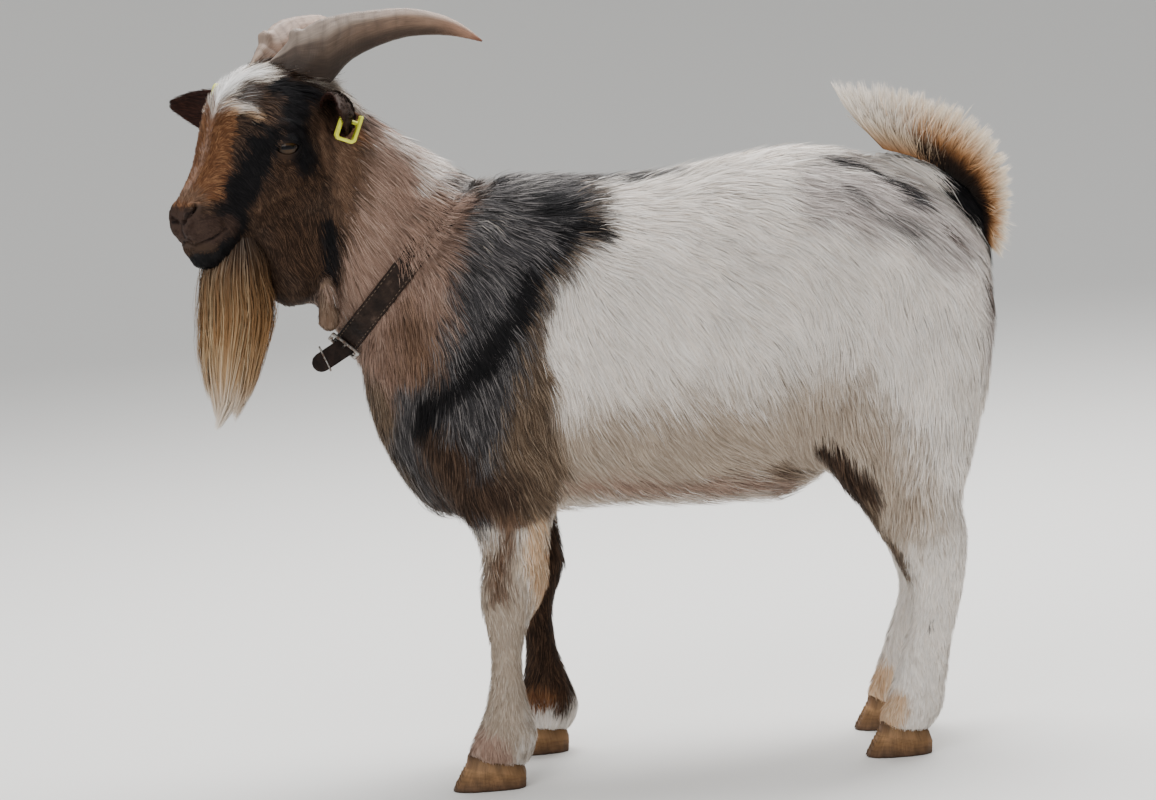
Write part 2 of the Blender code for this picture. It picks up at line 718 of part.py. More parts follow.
def ear(name, side):
    """A leaf-shaped cupped ear, open to the front."""
    rows = catmull_rom(EAR_STATIONS, 2)
    count = 7
    bm = bmesh.new()
    grid = []
    for row in rows:
        low, high = math.radians(row[3]), math.radians(row[4])
        angles = [low + (high - low) * k / (count - 1) for k in range(count)]
        grid.append([bm.verts.new(ear_place(side, row, a)) for a in angles])
    for a, b in zip(grid, grid[1:]):
        for k in range(count - 1):
            bm.faces.new((a[k], a[k + 1], b[k + 1], b[k]))
    made = mesh_object(name, bm, BROWN_COAT)
    wall = made.modifiers.new("wall", "SOLIDIFY")
    wall.thickness = EAR_WALL * MM
    wall.offset = 0
    boolean(made, "DIFFERENCE", skull_clear)
    return made


TAG_STRIP = (12, 3)  # mm: width along the ear, thickness
TAG_GAP = 13  # mm between the two legs
# Distance out along the ear, which rim the tag hangs on, its twist in degrees, and how far its legs
# reach over the rim in mm.
TAG_PLACES = {"left": (68, "lower", 8, 19), "right": (62, "upper", 0, 13)}


def tag(name, side, limb_ear):
    """A folded plastic strip over the ear's rim, with a pin through the ear."""
    distance, rim, twist, leg = TAG_PLACES[name.split("_")[1]]
    rows = catmull_rom(EAR_STATIONS, 8)
    row = min(rows, key=lambda r: abs(r[0] - distance))
    edge = math.radians(row[3] if rim == "lower" else row[4])
    inward = math.radians(48) * (1 if rim == "lower" else -1)
    at_rim = ear_place(side, row, edge)
    v = (ear_place(side, row, edge + inward) - at_rim).normalized()
    _, out, _, _ = ear_frame(side)
    u = v.cross(out).normalized()
    place = axes(at_rim, u, v) @ Matrix.Rotation(math.radians(twist), 4, "Y")
    width, thickness = TAG_STRIP
    inner, outer, low = TAG_GAP / 2, TAG_GAP / 2 + thickness, -4
    corner = 3
    outline = [
        (-outer, leg), (-outer, low - thickness + corner), (-outer + corner, low - thickness),
        (outer - corner, low - thickness), (outer, low - thickness + corner), (outer, leg),
        (inner, leg), (inner, low), (-inner, low), (-inner, leg),
    ]
    made = mesh_object(name, slab(outline, width, place), TAG)
    for label, target, operation, radius, length in (
        ("pin", made, "UNION", 2.0, 2 * outer - thickness),
        ("pin_hole", limb_ear, "DIFFERENCE", 2.4, 40),
    ):
        bm = bmesh.new()
        lie = place @ Matrix.Translation((0, 0.6 * leg * MM, 0)) @ Matrix.Rotation(math.pi / 2, 4, "Y")
        bmesh.ops.create_cone(
            bm, cap_ends=True, segments=12, radius1=radius * MM, radius2=radius * MM, depth=length * MM, matrix=lie
        )
        boolean(target, operation, mesh_object(f"{label}_{side}", bm, home=cutters))
    return applied(made)


# Eyes and wattles -------------------------------------------------------------------------------
EYE_PLACE = (46, 10)  # mm along the head's axis, and above it
EYE_PROUD = 2 * MM
EYE_FORWARD = math.radians(25)


def eye_centre(side):
    aside = -side
    inside = head_place(EYE_PLACE[0], 20 * aside, EYE_PLACE[1])
    look = HEAD.to_3x3() @ Vector((math.sin(EYE_FORWARD), aside * math.cos(EYE_FORWARD), 0))
    return inside + look * (reach(skull_skin, inside, look) + EYE_PROUD - EYE_RADIUS)


def eye(name, side):
    return mesh_object(name, ellipsoid(eye_centre(side), [EYE_RADIUS] * 3, segments=12), EYE)


def wattle(name, side):
    """A hanging drop of skin and hair at the throat."""
    start = Vector((-0.191, NECK_JOINT.y, 0.470))
    out = Vector((-0.35, side, 0)).normalized()
    top = start + out * (reach(skull_skin, start, out) - 7 * MM)
    rings = []
    for down, half, sway in ((-4, 5, 0), (6, 8, 1), (18, 10.5, 3), (29, 11.5, 5), (37, 9, 6), (42, 3, 7)):
        centre = top + Vector((-0.25 * down, side * (6 + 0.15 * down), -down)) * MM + out * sway * MM
        rings.append(ring(centre, (1, 0, 0), (0, 1, 0), half * MM, half * MM, half * MM, count=10))
    made = mesh_object(name, loft(rings), CREAM_COAT)
    for other in (body_clear, skull_clear):
        boolean(made, "DIFFERENCE", other)
    return applied(made)


# Beard and tail ---------------------------------------------------------------------------------
# Stations down the beard, in mm: height, reach forward of the neck joint of its front and its
# back, half-width.
BEARD_STATIONS = [
    (528, 138, 80, 14),
    (498, 158, 80, 20),
    (470, 166, 78, 23),
    (444, 169, 82, 25),
    (413, 169, 96, 25),
    (390, 168, 106, 22),
    (370, 164, 119, 17),
    (356, 159, 132, 10),
    (348, 154, 144, 4),
]


def beard():
    turn = HEAD.to_3x3()
    forward, across = turn @ Vector((1, 0, 0)), turn @ Vector((0, 1, 0))
    rings = []
    for height, front, back, half in catmull_rom(BEARD_STATIONS, 1):
        centre = HEAD @ (Vector(((front + back) / 2, 0, height)) * MM)
        reach_out = (front - back) / 2 * MM
        rings.append(ring(centre, across, forward, half * MM, reach_out, reach_out, count=12))
    made = mesh_object("beard", loft(rings), BEARD_HAIR)
    for other in (skull_clear, body_clear):
        boolean(made, "DIFFERENCE", other)
    return applied(made)


# Stations along the tail, in mm: x and z of its middle, half its depth and half its width.
TAIL_STATIONS = [
    (374, 462, 14, 15),
    (386, 488, 17, 18),
    (389, 519, 25, 22),
    (379, 549, 33, 25),
    (357, 568, 34, 24),
    (329, 581, 29, 21),
    (301, 588, 22, 17),
    (276, 594, 13, 11),
    (257, 600, 4, 4),
]


def tail():
    """A bushy tail that curls up and forward over the croup."""
    rows = catmull_rom(TAIL_STATIONS, 1)
    rings = []
    for k, (x, z, depth, half) in enumerate(rows):
        before, after = rows[max(0, k - 1)], rows[min(len(rows) - 1, k + 1)]
        along = Vector((after[0] - before[0], 0, after[1] - before[1])).normalized()
        outward = Vector((0, 1, 0)).cross(along)
        rings.append(ring(Vector((x, 0, z)) * MM, (0, 1, 0), outward, half * MM, depth * MM, depth * MM, count=14))
    made = mesh_object("tail", loft(rings), CREAM_COAT)
    boolean(made, "DIFFERENCE", body_clear)
    return applied(made)


# Hooves -----------------------------------------------------------------------------------------
# One claw's outline from above: share of the way from toe to heel, and of its width outwards.
CLAW_OUTLINE = [
    (0.00, 0.10), (0.04, 0.52), (0.16, 0.84), (0.36, 1.00), (0.68, 1.00), (0.90, 0.84),
    (1.00, 0.50), (0.98, 0.10), (0.86, 0.00), (0.45, 0.00), (0.12, 0.00),
]
FOOT_MIDDLE = {"fore": 70, "hind": 60}
FOOT_SPAN = {"fore": (-142, -74), "hind": (236, 297)}  # mm: x of the toe's tip and of the heel's
CLAW_SLOPE = 0.62  # how far the toe falls back for each mm of height


def claw(name, limb, side, half):
    """One of the two claws of a hoof, flat underneath."""
    toe, heel = FOOT_SPAN[limb]
    shift = stride_of(limb, side)
    rings = []
    for height in (0, 14, 34):
        front, back = toe + CLAW_SLOPE * height + shift, heel + 0.1 * height + shift
        width = CLAW_WIDTH / MM - 0.06 * height
        points = []
        for along, outward in CLAW_OUTLINE:
            y = side * FOOT_MIDDLE[limb] + half * (1 + width * outward)
            points.append(Vector((front + (back - front) * along, y, height)) * MM)
        rings.append(points)
    made = mesh_object(name, loft(rings), HOOF)
    boolean(made, "INTERSECT", below_coronet(limb, side))
    return applied(made)


# The goat ---------------------------------------------------------------------------------------
groove, buckle_room = collar_cutters()

sockets = []
for label, side in SIDES.items():
    eye(f"eye_{label}", side)
    hollow = ellipsoid(eye_centre(side), [EYE_RADIUS + CUT_GAP] * 3, segments=12)
    sockets.append(mesh_object(f"socket_{label}", hollow, home=cutters))
    horn(f"horn_{label}", side)
    leaf = ear(f"ear_{label}", side)
    tag(f"tag_{label}", side, leaf)
    applied(leaf)
    wattle(f"wattle_{label}", side)

legs_clear = []
for label, side in SIDES.items():
    for limb, hair in (("fore", GREY_COAT if side < 0 else BROWN_COAT), ("hind", CREAM_COAT)):
        (upper, upper_clear), (lower, lower_clear) = leg_regions(limb, side)
        legs_clear += [upper_clear, lower_clear]
        piece_of(f"{limb}leg_{label}_upper", body, hair, [upper], [lower_clear])
        piece_of(f"{limb}leg_{label}_lower", body, hair, [lower], [below_coronet(limb, side, CUT_GAP)])
        for half, place in ((side, "outer"), (-side, "inner")):
            claw(f"hoof_{limb}_{label}_{place}", limb, side, half)

piece_of("head", skull, BROWN_COAT, [head_side], sockets)
piece_of("neck", body, CREAM_COAT, [neck_side], [head_side_clear, groove, buckle_room])
piece_of("trunk", body, CREAM_COAT, [], [neck_side_clear, groove, buckle_room, *legs_clear])
collar_strap()
collar_buckle()
strap_room = collar_ring("strap_room", -COLLAR_THICKNESS, CUT_GAP, COLLAR_WIDTH / 2 + CUT_GAP, home=cutters)
collar_tongue([strap_room, body_clear])
beard()
tail()

# The middle of the whole goat's box goes over the origin.
corners = np.array([v.co for made in goat.objects for v in made.data.vertices])
middle = (corners.min(axis=0) + corners.max(axis=0)) / 2
for made in goat.objects:
    made.data.transform(Matrix.Translation((-middle[0], -middle[1], 0)))
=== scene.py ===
# %% [markdown]
# # A pygmy goat buck: skin, coat, horn and harness
# The solids give the goat's true outline, out to the tips of its coat. This lesson dresses them: one
# skin lies inside the solids by the coat's depth, and many thin locks of hair lie over it. The hair is
# plain mesh, so the finished goat can be exported and printed as it stands.

# %% Load the frame
import math
import time

import bmesh
import bpy
import numpy as np
from mathutils import Matrix, Vector
from mathutils.bvhtree import BVHTree
from mathutils.kdtree import KDTree


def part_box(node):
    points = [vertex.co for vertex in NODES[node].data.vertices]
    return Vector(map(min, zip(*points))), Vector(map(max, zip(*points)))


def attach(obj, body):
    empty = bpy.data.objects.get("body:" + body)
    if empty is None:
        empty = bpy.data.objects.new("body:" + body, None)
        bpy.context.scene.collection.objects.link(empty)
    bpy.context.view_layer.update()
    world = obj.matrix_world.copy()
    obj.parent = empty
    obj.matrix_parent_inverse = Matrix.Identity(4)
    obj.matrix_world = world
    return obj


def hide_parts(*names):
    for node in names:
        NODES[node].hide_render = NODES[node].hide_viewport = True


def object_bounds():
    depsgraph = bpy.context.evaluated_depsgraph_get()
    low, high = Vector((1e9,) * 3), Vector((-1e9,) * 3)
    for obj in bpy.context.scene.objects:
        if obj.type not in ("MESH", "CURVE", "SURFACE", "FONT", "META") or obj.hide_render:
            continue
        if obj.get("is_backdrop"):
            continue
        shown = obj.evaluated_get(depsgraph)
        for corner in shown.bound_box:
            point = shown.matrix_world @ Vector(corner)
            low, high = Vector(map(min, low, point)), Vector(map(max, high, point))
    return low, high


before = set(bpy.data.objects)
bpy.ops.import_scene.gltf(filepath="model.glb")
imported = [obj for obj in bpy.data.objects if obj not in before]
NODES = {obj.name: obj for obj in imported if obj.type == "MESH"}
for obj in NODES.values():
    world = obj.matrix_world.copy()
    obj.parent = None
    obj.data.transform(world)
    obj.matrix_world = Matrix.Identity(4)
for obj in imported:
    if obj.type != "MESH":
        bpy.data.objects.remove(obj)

STARTED = time.time()
MM = 0.001
bpy.context.view_layer.update()
CAD_BOX = [list(corner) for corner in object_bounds()]
BOXES = {name: [np.array(corner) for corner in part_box(name)] for name in NODES}
print("nodes:", len(NODES), "box:", [[round(x, 3) for x in corner] for corner in CAD_BOX])

# %% [markdown]
# ## The camera and the light
# A long lens from three metres keeps the goat's proportions, where a short one would swell the head.
# The light is soft: one large panel above and behind for the edges of the coat, one in front, and a pale
# room. The floor is a round dish of paper, so that it looks the same from every side.

# %% Camera
AIM = Vector((-0.0287, 0.0213, 0.34))
CAMERA_DISTANCE = 3.2
CAMERA_RISE = math.radians(6.5)
CAMERA_ROLL = math.radians(4.5)
LENS = 108.3

away = Vector((0, -math.cos(CAMERA_RISE), math.sin(CAMERA_RISE)))
camera = bpy.data.objects.new("camera", bpy.data.cameras.new("camera"))
camera.data.lens = LENS
camera.data.sensor_width = 36
camera.rotation_mode = "QUATERNION"
camera.location = AIM + away * CAMERA_DISTANCE
tilt = Matrix.Rotation(-CAMERA_ROLL, 3, "Z").to_quaternion()
camera.rotation_quaternion = away.to_track_quat("Z", "Y") @ tilt
bpy.context.scene.collection.objects.link(camera)
bpy.context.scene.camera = camera
print("camera at", [round(x, 2) for x in camera.location], "with a lens of", LENS, "mm")

# %% Colours and nodes
def linear(code, strength=1.0):
    """An sRGB hex colour as linear red, green and blue."""
    shares = [int(code[i:i + 2], 16) / 255 for i in (1, 3, 5)]
    return [strength * (s / 12.92 if s <= 0.04045 else ((s + 0.055) / 1.055) ** 2.4) for s in shares]


def node(tree, kind, links=None, stops=(), **settings):
    """Adds one shader node: its fields, its sockets' values or sources, and a ramp's colour stops."""
    made = tree.nodes.new(kind)
    for field, value in settings.items():
        setattr(made, field, value)
    while stops and len(made.color_ramp.elements) < len(stops):
        made.color_ramp.elements.new(0.5)
    for index, (place, code) in enumerate(stops):
        made.color_ramp.elements[index].position = place
        made.color_ramp.elements[index].color = linear(code) + [1]
    for socket, value in (links or {}).items():
        if isinstance(value, bpy.types.NodeSocket):
            tree.links.new(value, made.inputs[socket])
        else:
            made.inputs[socket].default_value = value
    return made


def new_material(name):
    """Makes an empty material and gives its node tree."""
    material = bpy.data.materials.new(name)
    material.use_nodes = True
    material.node_tree.nodes.clear()
    return material.node_tree


def scale_of(millimetres):
    """The scale that makes a pattern's features about that wide."""
    return 1 / (millimetres * MM)


# %% Floor and lamps
PAPER = "#E6E4E0"
FLOOR_FLAT = 4.6  # metres from the middle to where the paper starts to rise
FLOOR_EDGE = 7.6
EDGE_RISE = 1.9
FLOOR_SIDES = 72
ROOM_TONE, ROOM_STRENGTH = "#EEF0F2", 0.72
LAMPS = (  # each panel's name, its place and size in metres, and its watts
    ("front_panel", (-1.2, -2.6, 2.2), 2.4, 60),
    ("top_panel", (0.5, 0.9, 2.7), 2.2, 170),
)


def matt_paper():
    """Uncoated paper: its loose fibres scatter the light, so it has no gloss and no clear reflection."""
    tree = new_material("matt_paper")
    shader = node(tree, "ShaderNodeBsdfPrincipled", {"Base Color": linear(PAPER) + [1], "Roughness": 0.9})
    node(tree, "ShaderNodeOutputMaterial", {"Surface": shader.outputs[0]})


def paper_floor():
    """A round sheet of pale paper whose edge turns up a little."""
    radii = np.concatenate([[0.5, 1.5, 3.0], np.linspace(FLOOR_FLAT, FLOOR_EDGE, 12)])
    rise = EDGE_RISE * (np.clip(radii - FLOOR_FLAT, 0, None) / (FLOOR_EDGE - FLOOR_FLAT)) ** 2
    angles = np.linspace(0, 2 * math.pi, FLOOR_SIDES, endpoint=False)
    rings = [(r * math.cos(a), r * math.sin(a), z) for r, z in zip(radii, rise) for a in angles]
    pairs = [(i, (i + 1) % FLOOR_SIDES) for i in range(FLOOR_SIDES)]
    faces = [[len(rings), i, j] for i, j in pairs]
    for k in range(0, (len(radii) - 1) * FLOOR_SIDES, FLOOR_SIDES):
        faces += [[k + i, k + FLOOR_SIDES + i, k + FLOOR_SIDES + j, k + j] for i, j in pairs]
    mesh = bpy.data.meshes.new("paper_floor")
    mesh.from_pydata(rings + [(0, 0, 0)], [], faces)
    mesh.shade_smooth()
    mesh.materials.append(bpy.data.materials["matt_paper"])
    floor = bpy.data.objects.new("paper_floor", mesh)
    bpy.context.scene.collection.objects.link(floor)
    floor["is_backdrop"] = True


def lights():
    """Two soft lamps and the pale room round them."""
    for name, place, size, watts in LAMPS:
        lamp = bpy.data.objects.new(name, bpy.data.lights.new(name, "AREA"))
        lamp.data.size = size
        lamp.data.energy = watts
        lamp.location = place
        lamp.rotation_mode = "QUATERNION"
        lamp.rotation_quaternion = (Vector(place) - AIM).to_track_quat("Z", "Y")
        bpy.context.scene.collection.objects.link(lamp)
    world = bpy.data.worlds.new("room")
    world.use_nodes = True
    world.node_tree.nodes["Background"].inputs["Color"].default_value = linear(ROOM_TONE) + [1]
    world.node_tree.nodes["Background"].inputs["Strength"].default_value = ROOM_STRENGTH
    bpy.context.scene.world = world
    print("lamps:", [(name, watts) for name, _, _, watts in LAMPS])


matt_paper()
paper_floor()
lights()

# %% [markdown]
# ## Small tools for meshes
# Most of the goat is worked as arrays of points, which is quick in numpy. These helpers turn objects
# into arrays and back, and even out values over a mesh.

# %% Mesh tools
def column(items, field, kind=float, width=3):
    """One field of a mesh's points, edges or triangles, as an array with a row for each."""
    values = np.empty(len(items) * width, kind)
    items.foreach_get(field, values)
    return values.reshape(-1, width)


def points_of(mesh):
    """The places of a mesh's points."""
    return column(mesh.vertices, "co")


def normals_of(mesh):
    """The way out of the surface at each point of a mesh."""
    return column(mesh.vertex_normals, "vector")


def edges_of(mesh):
    """The two points of each edge of a mesh."""
    return column(mesh.edges, "vertices", np.int64, 2)


def triangles_of(mesh):
    """A mesh's faces, each cut into triangles."""
    mesh.calc_loop_triangles()
    return column(mesh.loop_triangles, "vertices", int)


def set_points(mesh, points):
    """Moves a mesh's points."""
    mesh.vertices.foreach_set("co", np.asarray(points, np.float32).ravel())
    mesh.update()


def arrays(thing):
    """An object's points, triangles and point normals, with its modifiers applied."""
    seen = thing.evaluated_get(bpy.context.evaluated_depsgraph_get())
    mesh = seen.to_mesh()
    found = points_of(mesh), triangles_of(mesh), normals_of(mesh)
    seen.to_mesh_clear()
    return found


def mesh_from(name, points, faces):
    """A mesh made from an array of points and an array of faces with equal corners."""
    points, faces = np.asarray(points, np.float32), np.asarray(faces, np.int32)
    mesh = bpy.data.meshes.new(name)
    mesh.vertices.add(len(points))
    mesh.vertices.foreach_set("co", points.ravel())
    mesh.loops.add(faces.size)
    mesh.loops.foreach_set("vertex_index", faces.ravel())
    mesh.polygons.add(len(faces))
    mesh.polygons.foreach_set("loop_start", np.arange(0, faces.size, faces.shape[1], dtype=np.int32))
    mesh.update(calc_edges=True)
    mesh.shade_smooth()
    return mesh


def placed(name, mesh):
    """An object with that mesh, linked to the scene."""
    made = bpy.data.objects.new(name, mesh)
    bpy.context.scene.collection.objects.link(made)
    return made


def dressed(piece, slot, *solids):
    """Makes an object part of the goat, in place of the solids named."""
    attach(piece, "root")
    if solids:
        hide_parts(*solids)
    print(piece.name, len(piece.data.polygons), "faces")


def finished(name, mesh, slot, *solids, matrix=Matrix()):
    """Places a mesh as part of the goat, in place of the solids named."""
    piece = placed(name, mesh)
    piece.matrix_world = matrix
    dressed(piece, slot, *solids)


def coloured(mesh, name, colours):
    """Gives each point of a mesh a colour."""
    layer = mesh.color_attributes.new(name, "FLOAT_COLOR", "POINT")
    full = np.concatenate([colours, np.ones((len(colours), 1))], 1)
    layer.data.foreach_set("color", full.astype(np.float32).ravel())


def joined(parts):
    """Several (points, faces) pairs as one pair."""
    offset, points, faces = 0, [], []
    for some_points, some_faces in parts:
        points.append(some_points)
        faces.append(np.asarray(some_faces) + offset)
        offset += len(some_points)
    return np.concatenate(points), np.concatenate(faces)


def voxel_skin(parts, voxel):
    """One closed surface round several overlapping bodies."""
    lump = placed("lump", mesh_from("lump", *joined(parts)))
    remesh = lump.modifiers.new("remesh", "REMESH")
    remesh.mode = "VOXEL"
    remesh.voxel_size = voxel
    made = bpy.data.meshes.new_from_object(lump.evaluated_get(bpy.context.evaluated_depsgraph_get()))
    bpy.data.objects.remove(lump)
    return made


def evened(values, edges, rounds, share=0.5):
    """Values at a mesh's points, each drawn towards the mean of its neighbours, round after round."""
    count = len(values)
    ends = np.concatenate([edges[:, 0], edges[:, 1]])
    others = np.concatenate([edges[:, 1], edges[:, 0]])
    weight = np.maximum(np.bincount(ends, minlength=count), 1)
    values = np.array(values, float).reshape(count, -1)
    for _ in range(rounds):
        sums = [np.bincount(ends, row[others], count) for row in values.T]
        values = values + share * (np.stack(sums, 1) / weight[:, None] - values)
    return values


def unit(vectors):
    """The same directions with a length of one."""
    return vectors / np.maximum(np.linalg.norm(vectors, axis=-1, keepdims=True), 1e-12)


def smoothstep(low, high, values):
    """0 at low, 1 at high, and a soft slope between; low may be the larger one."""
    t = np.clip((values - low) / (high - low), 0, 1)
    return t * t * (3 - 2 * t)


def at(name, x, y, z):
    """The point at those shares of a node's box, from its low corner at 0 to its high one at 1."""
    low, high = BOXES[name]
    return low + (high - low) * np.array((x, y, z))


# %% [markdown]
# ## Where the head points
# The two eyes tell where the head is and which way it faces. Places on the face are then given in
# millimetres forward of the eyes, aside, and up, so that both sides can share them.

# %% Head frame
EYES = {side: sum(BOXES["eye_" + side]) / 2 for side in ("left", "right")}
EYE_RADIUS = (BOXES["eye_left"][1][2] - BOXES["eye_left"][0][2]) / 2
BROW = (EYES["left"] + EYES["right"]) / 2
ASIDE = unit(EYES["left"] - EYES["right"])
UP = np.array([0, 0, 1.0])
FORWARD = unit(np.cross(ASIDE, UP))
SIDES = {"left": 1, "right": -1}
print("brow", BROW.round(4), "forward", FORWARD.round(3), "eye radius", round(EYE_RADIUS, 4))


def face_shares(points):
    """Points as millimetres forward, aside and up from the middle of the eyes."""
    moved = (points - BROW) / MM
    return np.stack([moved @ FORWARD, moved @ ASIDE, moved @ UP], 1)


# %% [markdown]
# ## The skin
# On the live animal one skin runs from the nose to the coronets. It is made here by growing all the
# flesh solids together in a voxel grid, then drawing the surface in by the depth of the coat: a few
# millimetres on the face and shanks, and more on the neck and withers.

# %% Coat depth
FLESH = [name for name in NODES if name in ("head", "neck", "trunk") or "leg_" in name]
EARS = ["ear_left", "ear_right"]
WATTLES = ["wattle_left", "wattle_right"]
HIDE = FLESH + EARS + WATTLES
COAT_DEPTH = {"head": 3.0, "neck": 11.0, "trunk": 10.0, "upper": 7.0, "lower": 3.6,
              "ear_left": 1.8, "ear_right": 1.8, "wattle_left": 2.5, "wattle_right": 2.5}
SKIN_VOXEL = 4.4 * MM
SEAM_FILL = 0.6 * MM


def coat_depth(name):
    """How deep the hair lies on that part of the body, in metres."""
    return MM * COAT_DEPTH.get(name, COAT_DEPTH.get(name.rsplit("_", 1)[-1]))


# %% Dock and wattles
WITHERS_X = -0.1  # metres: millimetres back are counted from here
DOCK = ((452, 462), (453, 486), (441, 507), (415, 528), (390, 541), (368, 548))  # mm back and up
DOCK_INSET = np.array([-6, 0, -8]) * MM
DOCK_RADIUS = 10 * MM
WATTLE_RADIUS = 10.5 * MM
WATTLE_SINK = 18 * MM  # how far a wattle's root goes into the throat


def flank_path(path):
    """Points from millimetres back from the withers and up, on the goat's middle line."""
    middle = (BOXES["tail"][0][1] + BOXES["tail"][1][1]) / 2
    return np.array([(back * MM + WITHERS_X, middle, up * MM) for back, up in path])


def along_path(path, shares):
    """Places at those shares of a path's length."""
    path = np.asarray(path, float)
    reach = np.concatenate([[0], np.cumsum(np.linalg.norm(path[1:] - path[:-1], axis=1))])
    places = np.asarray(shares) * reach[-1]
    return np.stack([np.interp(places, reach, axis) for axis in path.T], -1)


def strung_balls(path, radii, count):
    """Balls strung along a path, close enough to be grown together into a rounded limb."""
    ball = bmesh.new()
    bmesh.ops.create_icosphere(ball, subdivisions=2, radius=1.0)
    shape = np.array([v.co for v in ball.verts])
    faces = np.array([[v.index for v in f.verts] for f in ball.faces])
    ball.free()
    shares = np.linspace(0, 1, count)
    sizes = np.interp(shares, np.linspace(0, 1, len(radii)), radii)
    return [(centre + shape * size, faces) for centre, size in zip(along_path(path, shares), sizes)]


def small_flesh():
    """The short tail under its long hair, and the two wattles that hang from the throat."""
    parts = strung_balls(flank_path(DOCK) + DOCK_INSET, (DOCK_RADIUS, 0.65 * DOCK_RADIUS), 18)
    for name, turn in zip(WATTLES, (1, -1)):
        inward = np.array([0, turn * WATTLE_SINK, 0])
        path = (at(name, 0.5, 0.5, 1.0) + inward, at(name, 0.5, 0.5, 0.85), at(name, 0.5, 0.5, 0.2))
        parts += strung_balls(path, (0.7 * WATTLE_RADIUS, 0.7 * WATTLE_RADIUS, WATTLE_RADIUS), 10)
    return parts


def flesh_bodies():
    """The flesh solids, each swelled a little so that they grow together."""
    parts = []
    for name in FLESH:
        points, faces, normals = arrays(NODES[name])
        parts.append((points + normals * SEAM_FILL, faces))
    return parts


def nearest_node(points):
    """For each point, the index in HIDE of the solid that lies nearest."""
    solids = joined([arrays(NODES[name])[:2] for name in HIDE])
    counts = [len(arrays(NODES[name])[1]) for name in HIDE]
    owner = np.repeat(np.arange(len(HIDE)), counts)
    tree = BVHTree.FromPolygons(solids[0].tolist(), solids[1].tolist())
    return owner[[tree.find_nearest(p)[2] for p in points.tolist()]]


# %% Grow the flesh together and draw it in
DEPTH_ROUNDS, BODY_ROUNDS, HEAD_ROUNDS = 30, 14, 4  # how often each is evened


def drawn_in():
    """The flesh's common surface, evened, and lowered by the coat's depth."""
    mesh = voxel_skin(flesh_bodies(), SKIN_VOXEL)
    points, edges = points_of(mesh), edges_of(mesh)
    owner = nearest_node(points)
    depth = np.array([coat_depth(name) for name in HIDE])[owner]
    depth = evened(depth, edges, DEPTH_ROUNDS)
    on_head = evened(owner == FLESH.index("head"), edges, 6)
    even_more = evened(points, edges, BODY_ROUNDS)
    even_less = evened(points, edges, HEAD_ROUNDS)
    set_points(mesh, even_more + on_head * (even_less - even_more))
    normals = unit(evened(normals_of(mesh), edges, 6))
    points = even_more + on_head * (even_less - even_more) - normals * depth
    return voxel_skin([(points, triangles_of(mesh))] + small_flesh(), SKIN_VOXEL)


skin_mesh = drawn_in()
print("skin:", len(skin_mesh.vertices), "points after", round(time.time() - STARTED, 1), "s")

# %% Finer net where the face needs it
def refined(mesh, wanted):
    """Cuts every edge in two on the faces whose centres are wanted."""
    net = bmesh.new()
    net.from_mesh(mesh)
    centres = np.array([f.calc_center_median() for f in net.faces])
    chosen = np.flatnonzero(wanted(centres))
    net.faces.ensure_lookup_table()
    edges = {edge for index in chosen for edge in net.faces[index].edges}
    bmesh.ops.subdivide_edges(net, edges=list(edges), cuts=1, use_grid_fill=True)
    bmesh.ops.triangulate(net, faces=[f for f in net.faces if len(f.verts) > 4])
    net.to_mesh(mesh)
    net.free()
    return mesh


def on_the_head(centres):
    """Which places lie on the head."""
    place = face_shares(centres)
    return (place[:, 0] > -70) & (place[:, 2] > -135)


def on_the_face(centres):
    """Which places lie round the eyes or on the muzzle."""
    place = face_shares(centres)
    eyes = np.abs(np.abs(place[:, 1]) - 52) + np.abs(place[:, 0]) + np.abs(place[:, 2]) < 60
    muzzle = (place[:, 0] > 30) & (place[:, 2] < -10)
    return on_the_head(centres) & (eyes | muzzle)


skin_mesh = refined(skin_mesh, on_the_head)
head_points = points_of(skin_mesh)
head_share = on_the_head(head_points)[:, None]
head_even = evened(head_points, edges_of(skin_mesh), 6)
set_points(skin_mesh, np.where(head_share, head_even, evened(head_points, edges_of(skin_mesh), 2)))
skin_mesh = refined(skin_mesh, on_the_face)
print("skin:", len(skin_mesh.vertices), "points")

# %% Strokes over the body and the face
def path_distance(points, path):
    """How far each point is from a line of straight runs, in the path's own unit."""
    best = np.full(len(points), np.inf)
    path = np.asarray(path, float)
    for start, end in zip(path[:-1], path[1:]) if len(path) > 1 else [(path[0], path[0])]:
        run = end - start
        share = np.clip((points - start) @ run / max(run @ run, 1e-12), 0, 1)
        best = np.minimum(best, np.linalg.norm(points - start - share[:, None] * run, axis=1))
    return best


def stroke(points, path, radius, soft):
    """1 on the path, falling to 0 over the soft edge outside the radius."""
    return 1 - smoothstep(radius - soft / 2, radius + soft / 2, path_distance(points, path))


# %% [markdown]
# ## The face
# The nostrils, the lips and the brow are strokes pressed into the fine net or raised from it, the same
# on both sides. Each stroke is a path in millimetres forward of the eyes, aside and up. Sculpting by
# hand would be freer, but strokes can be read, changed and run again.

# %% Muzzle and cheeks
LIPS = ((85, 0, -77), (81, 10, -79), (76, 18, -77), (66, 24, -72), (56, 27, -67))
NOSTRIL = ((90, 5, -58), (88, 12, -55), (85, 18, -50), (82, 21, -45), (84, 17, -42))
NOSE_GROOVE = ((90, 0, -60), (87, 0, -74))
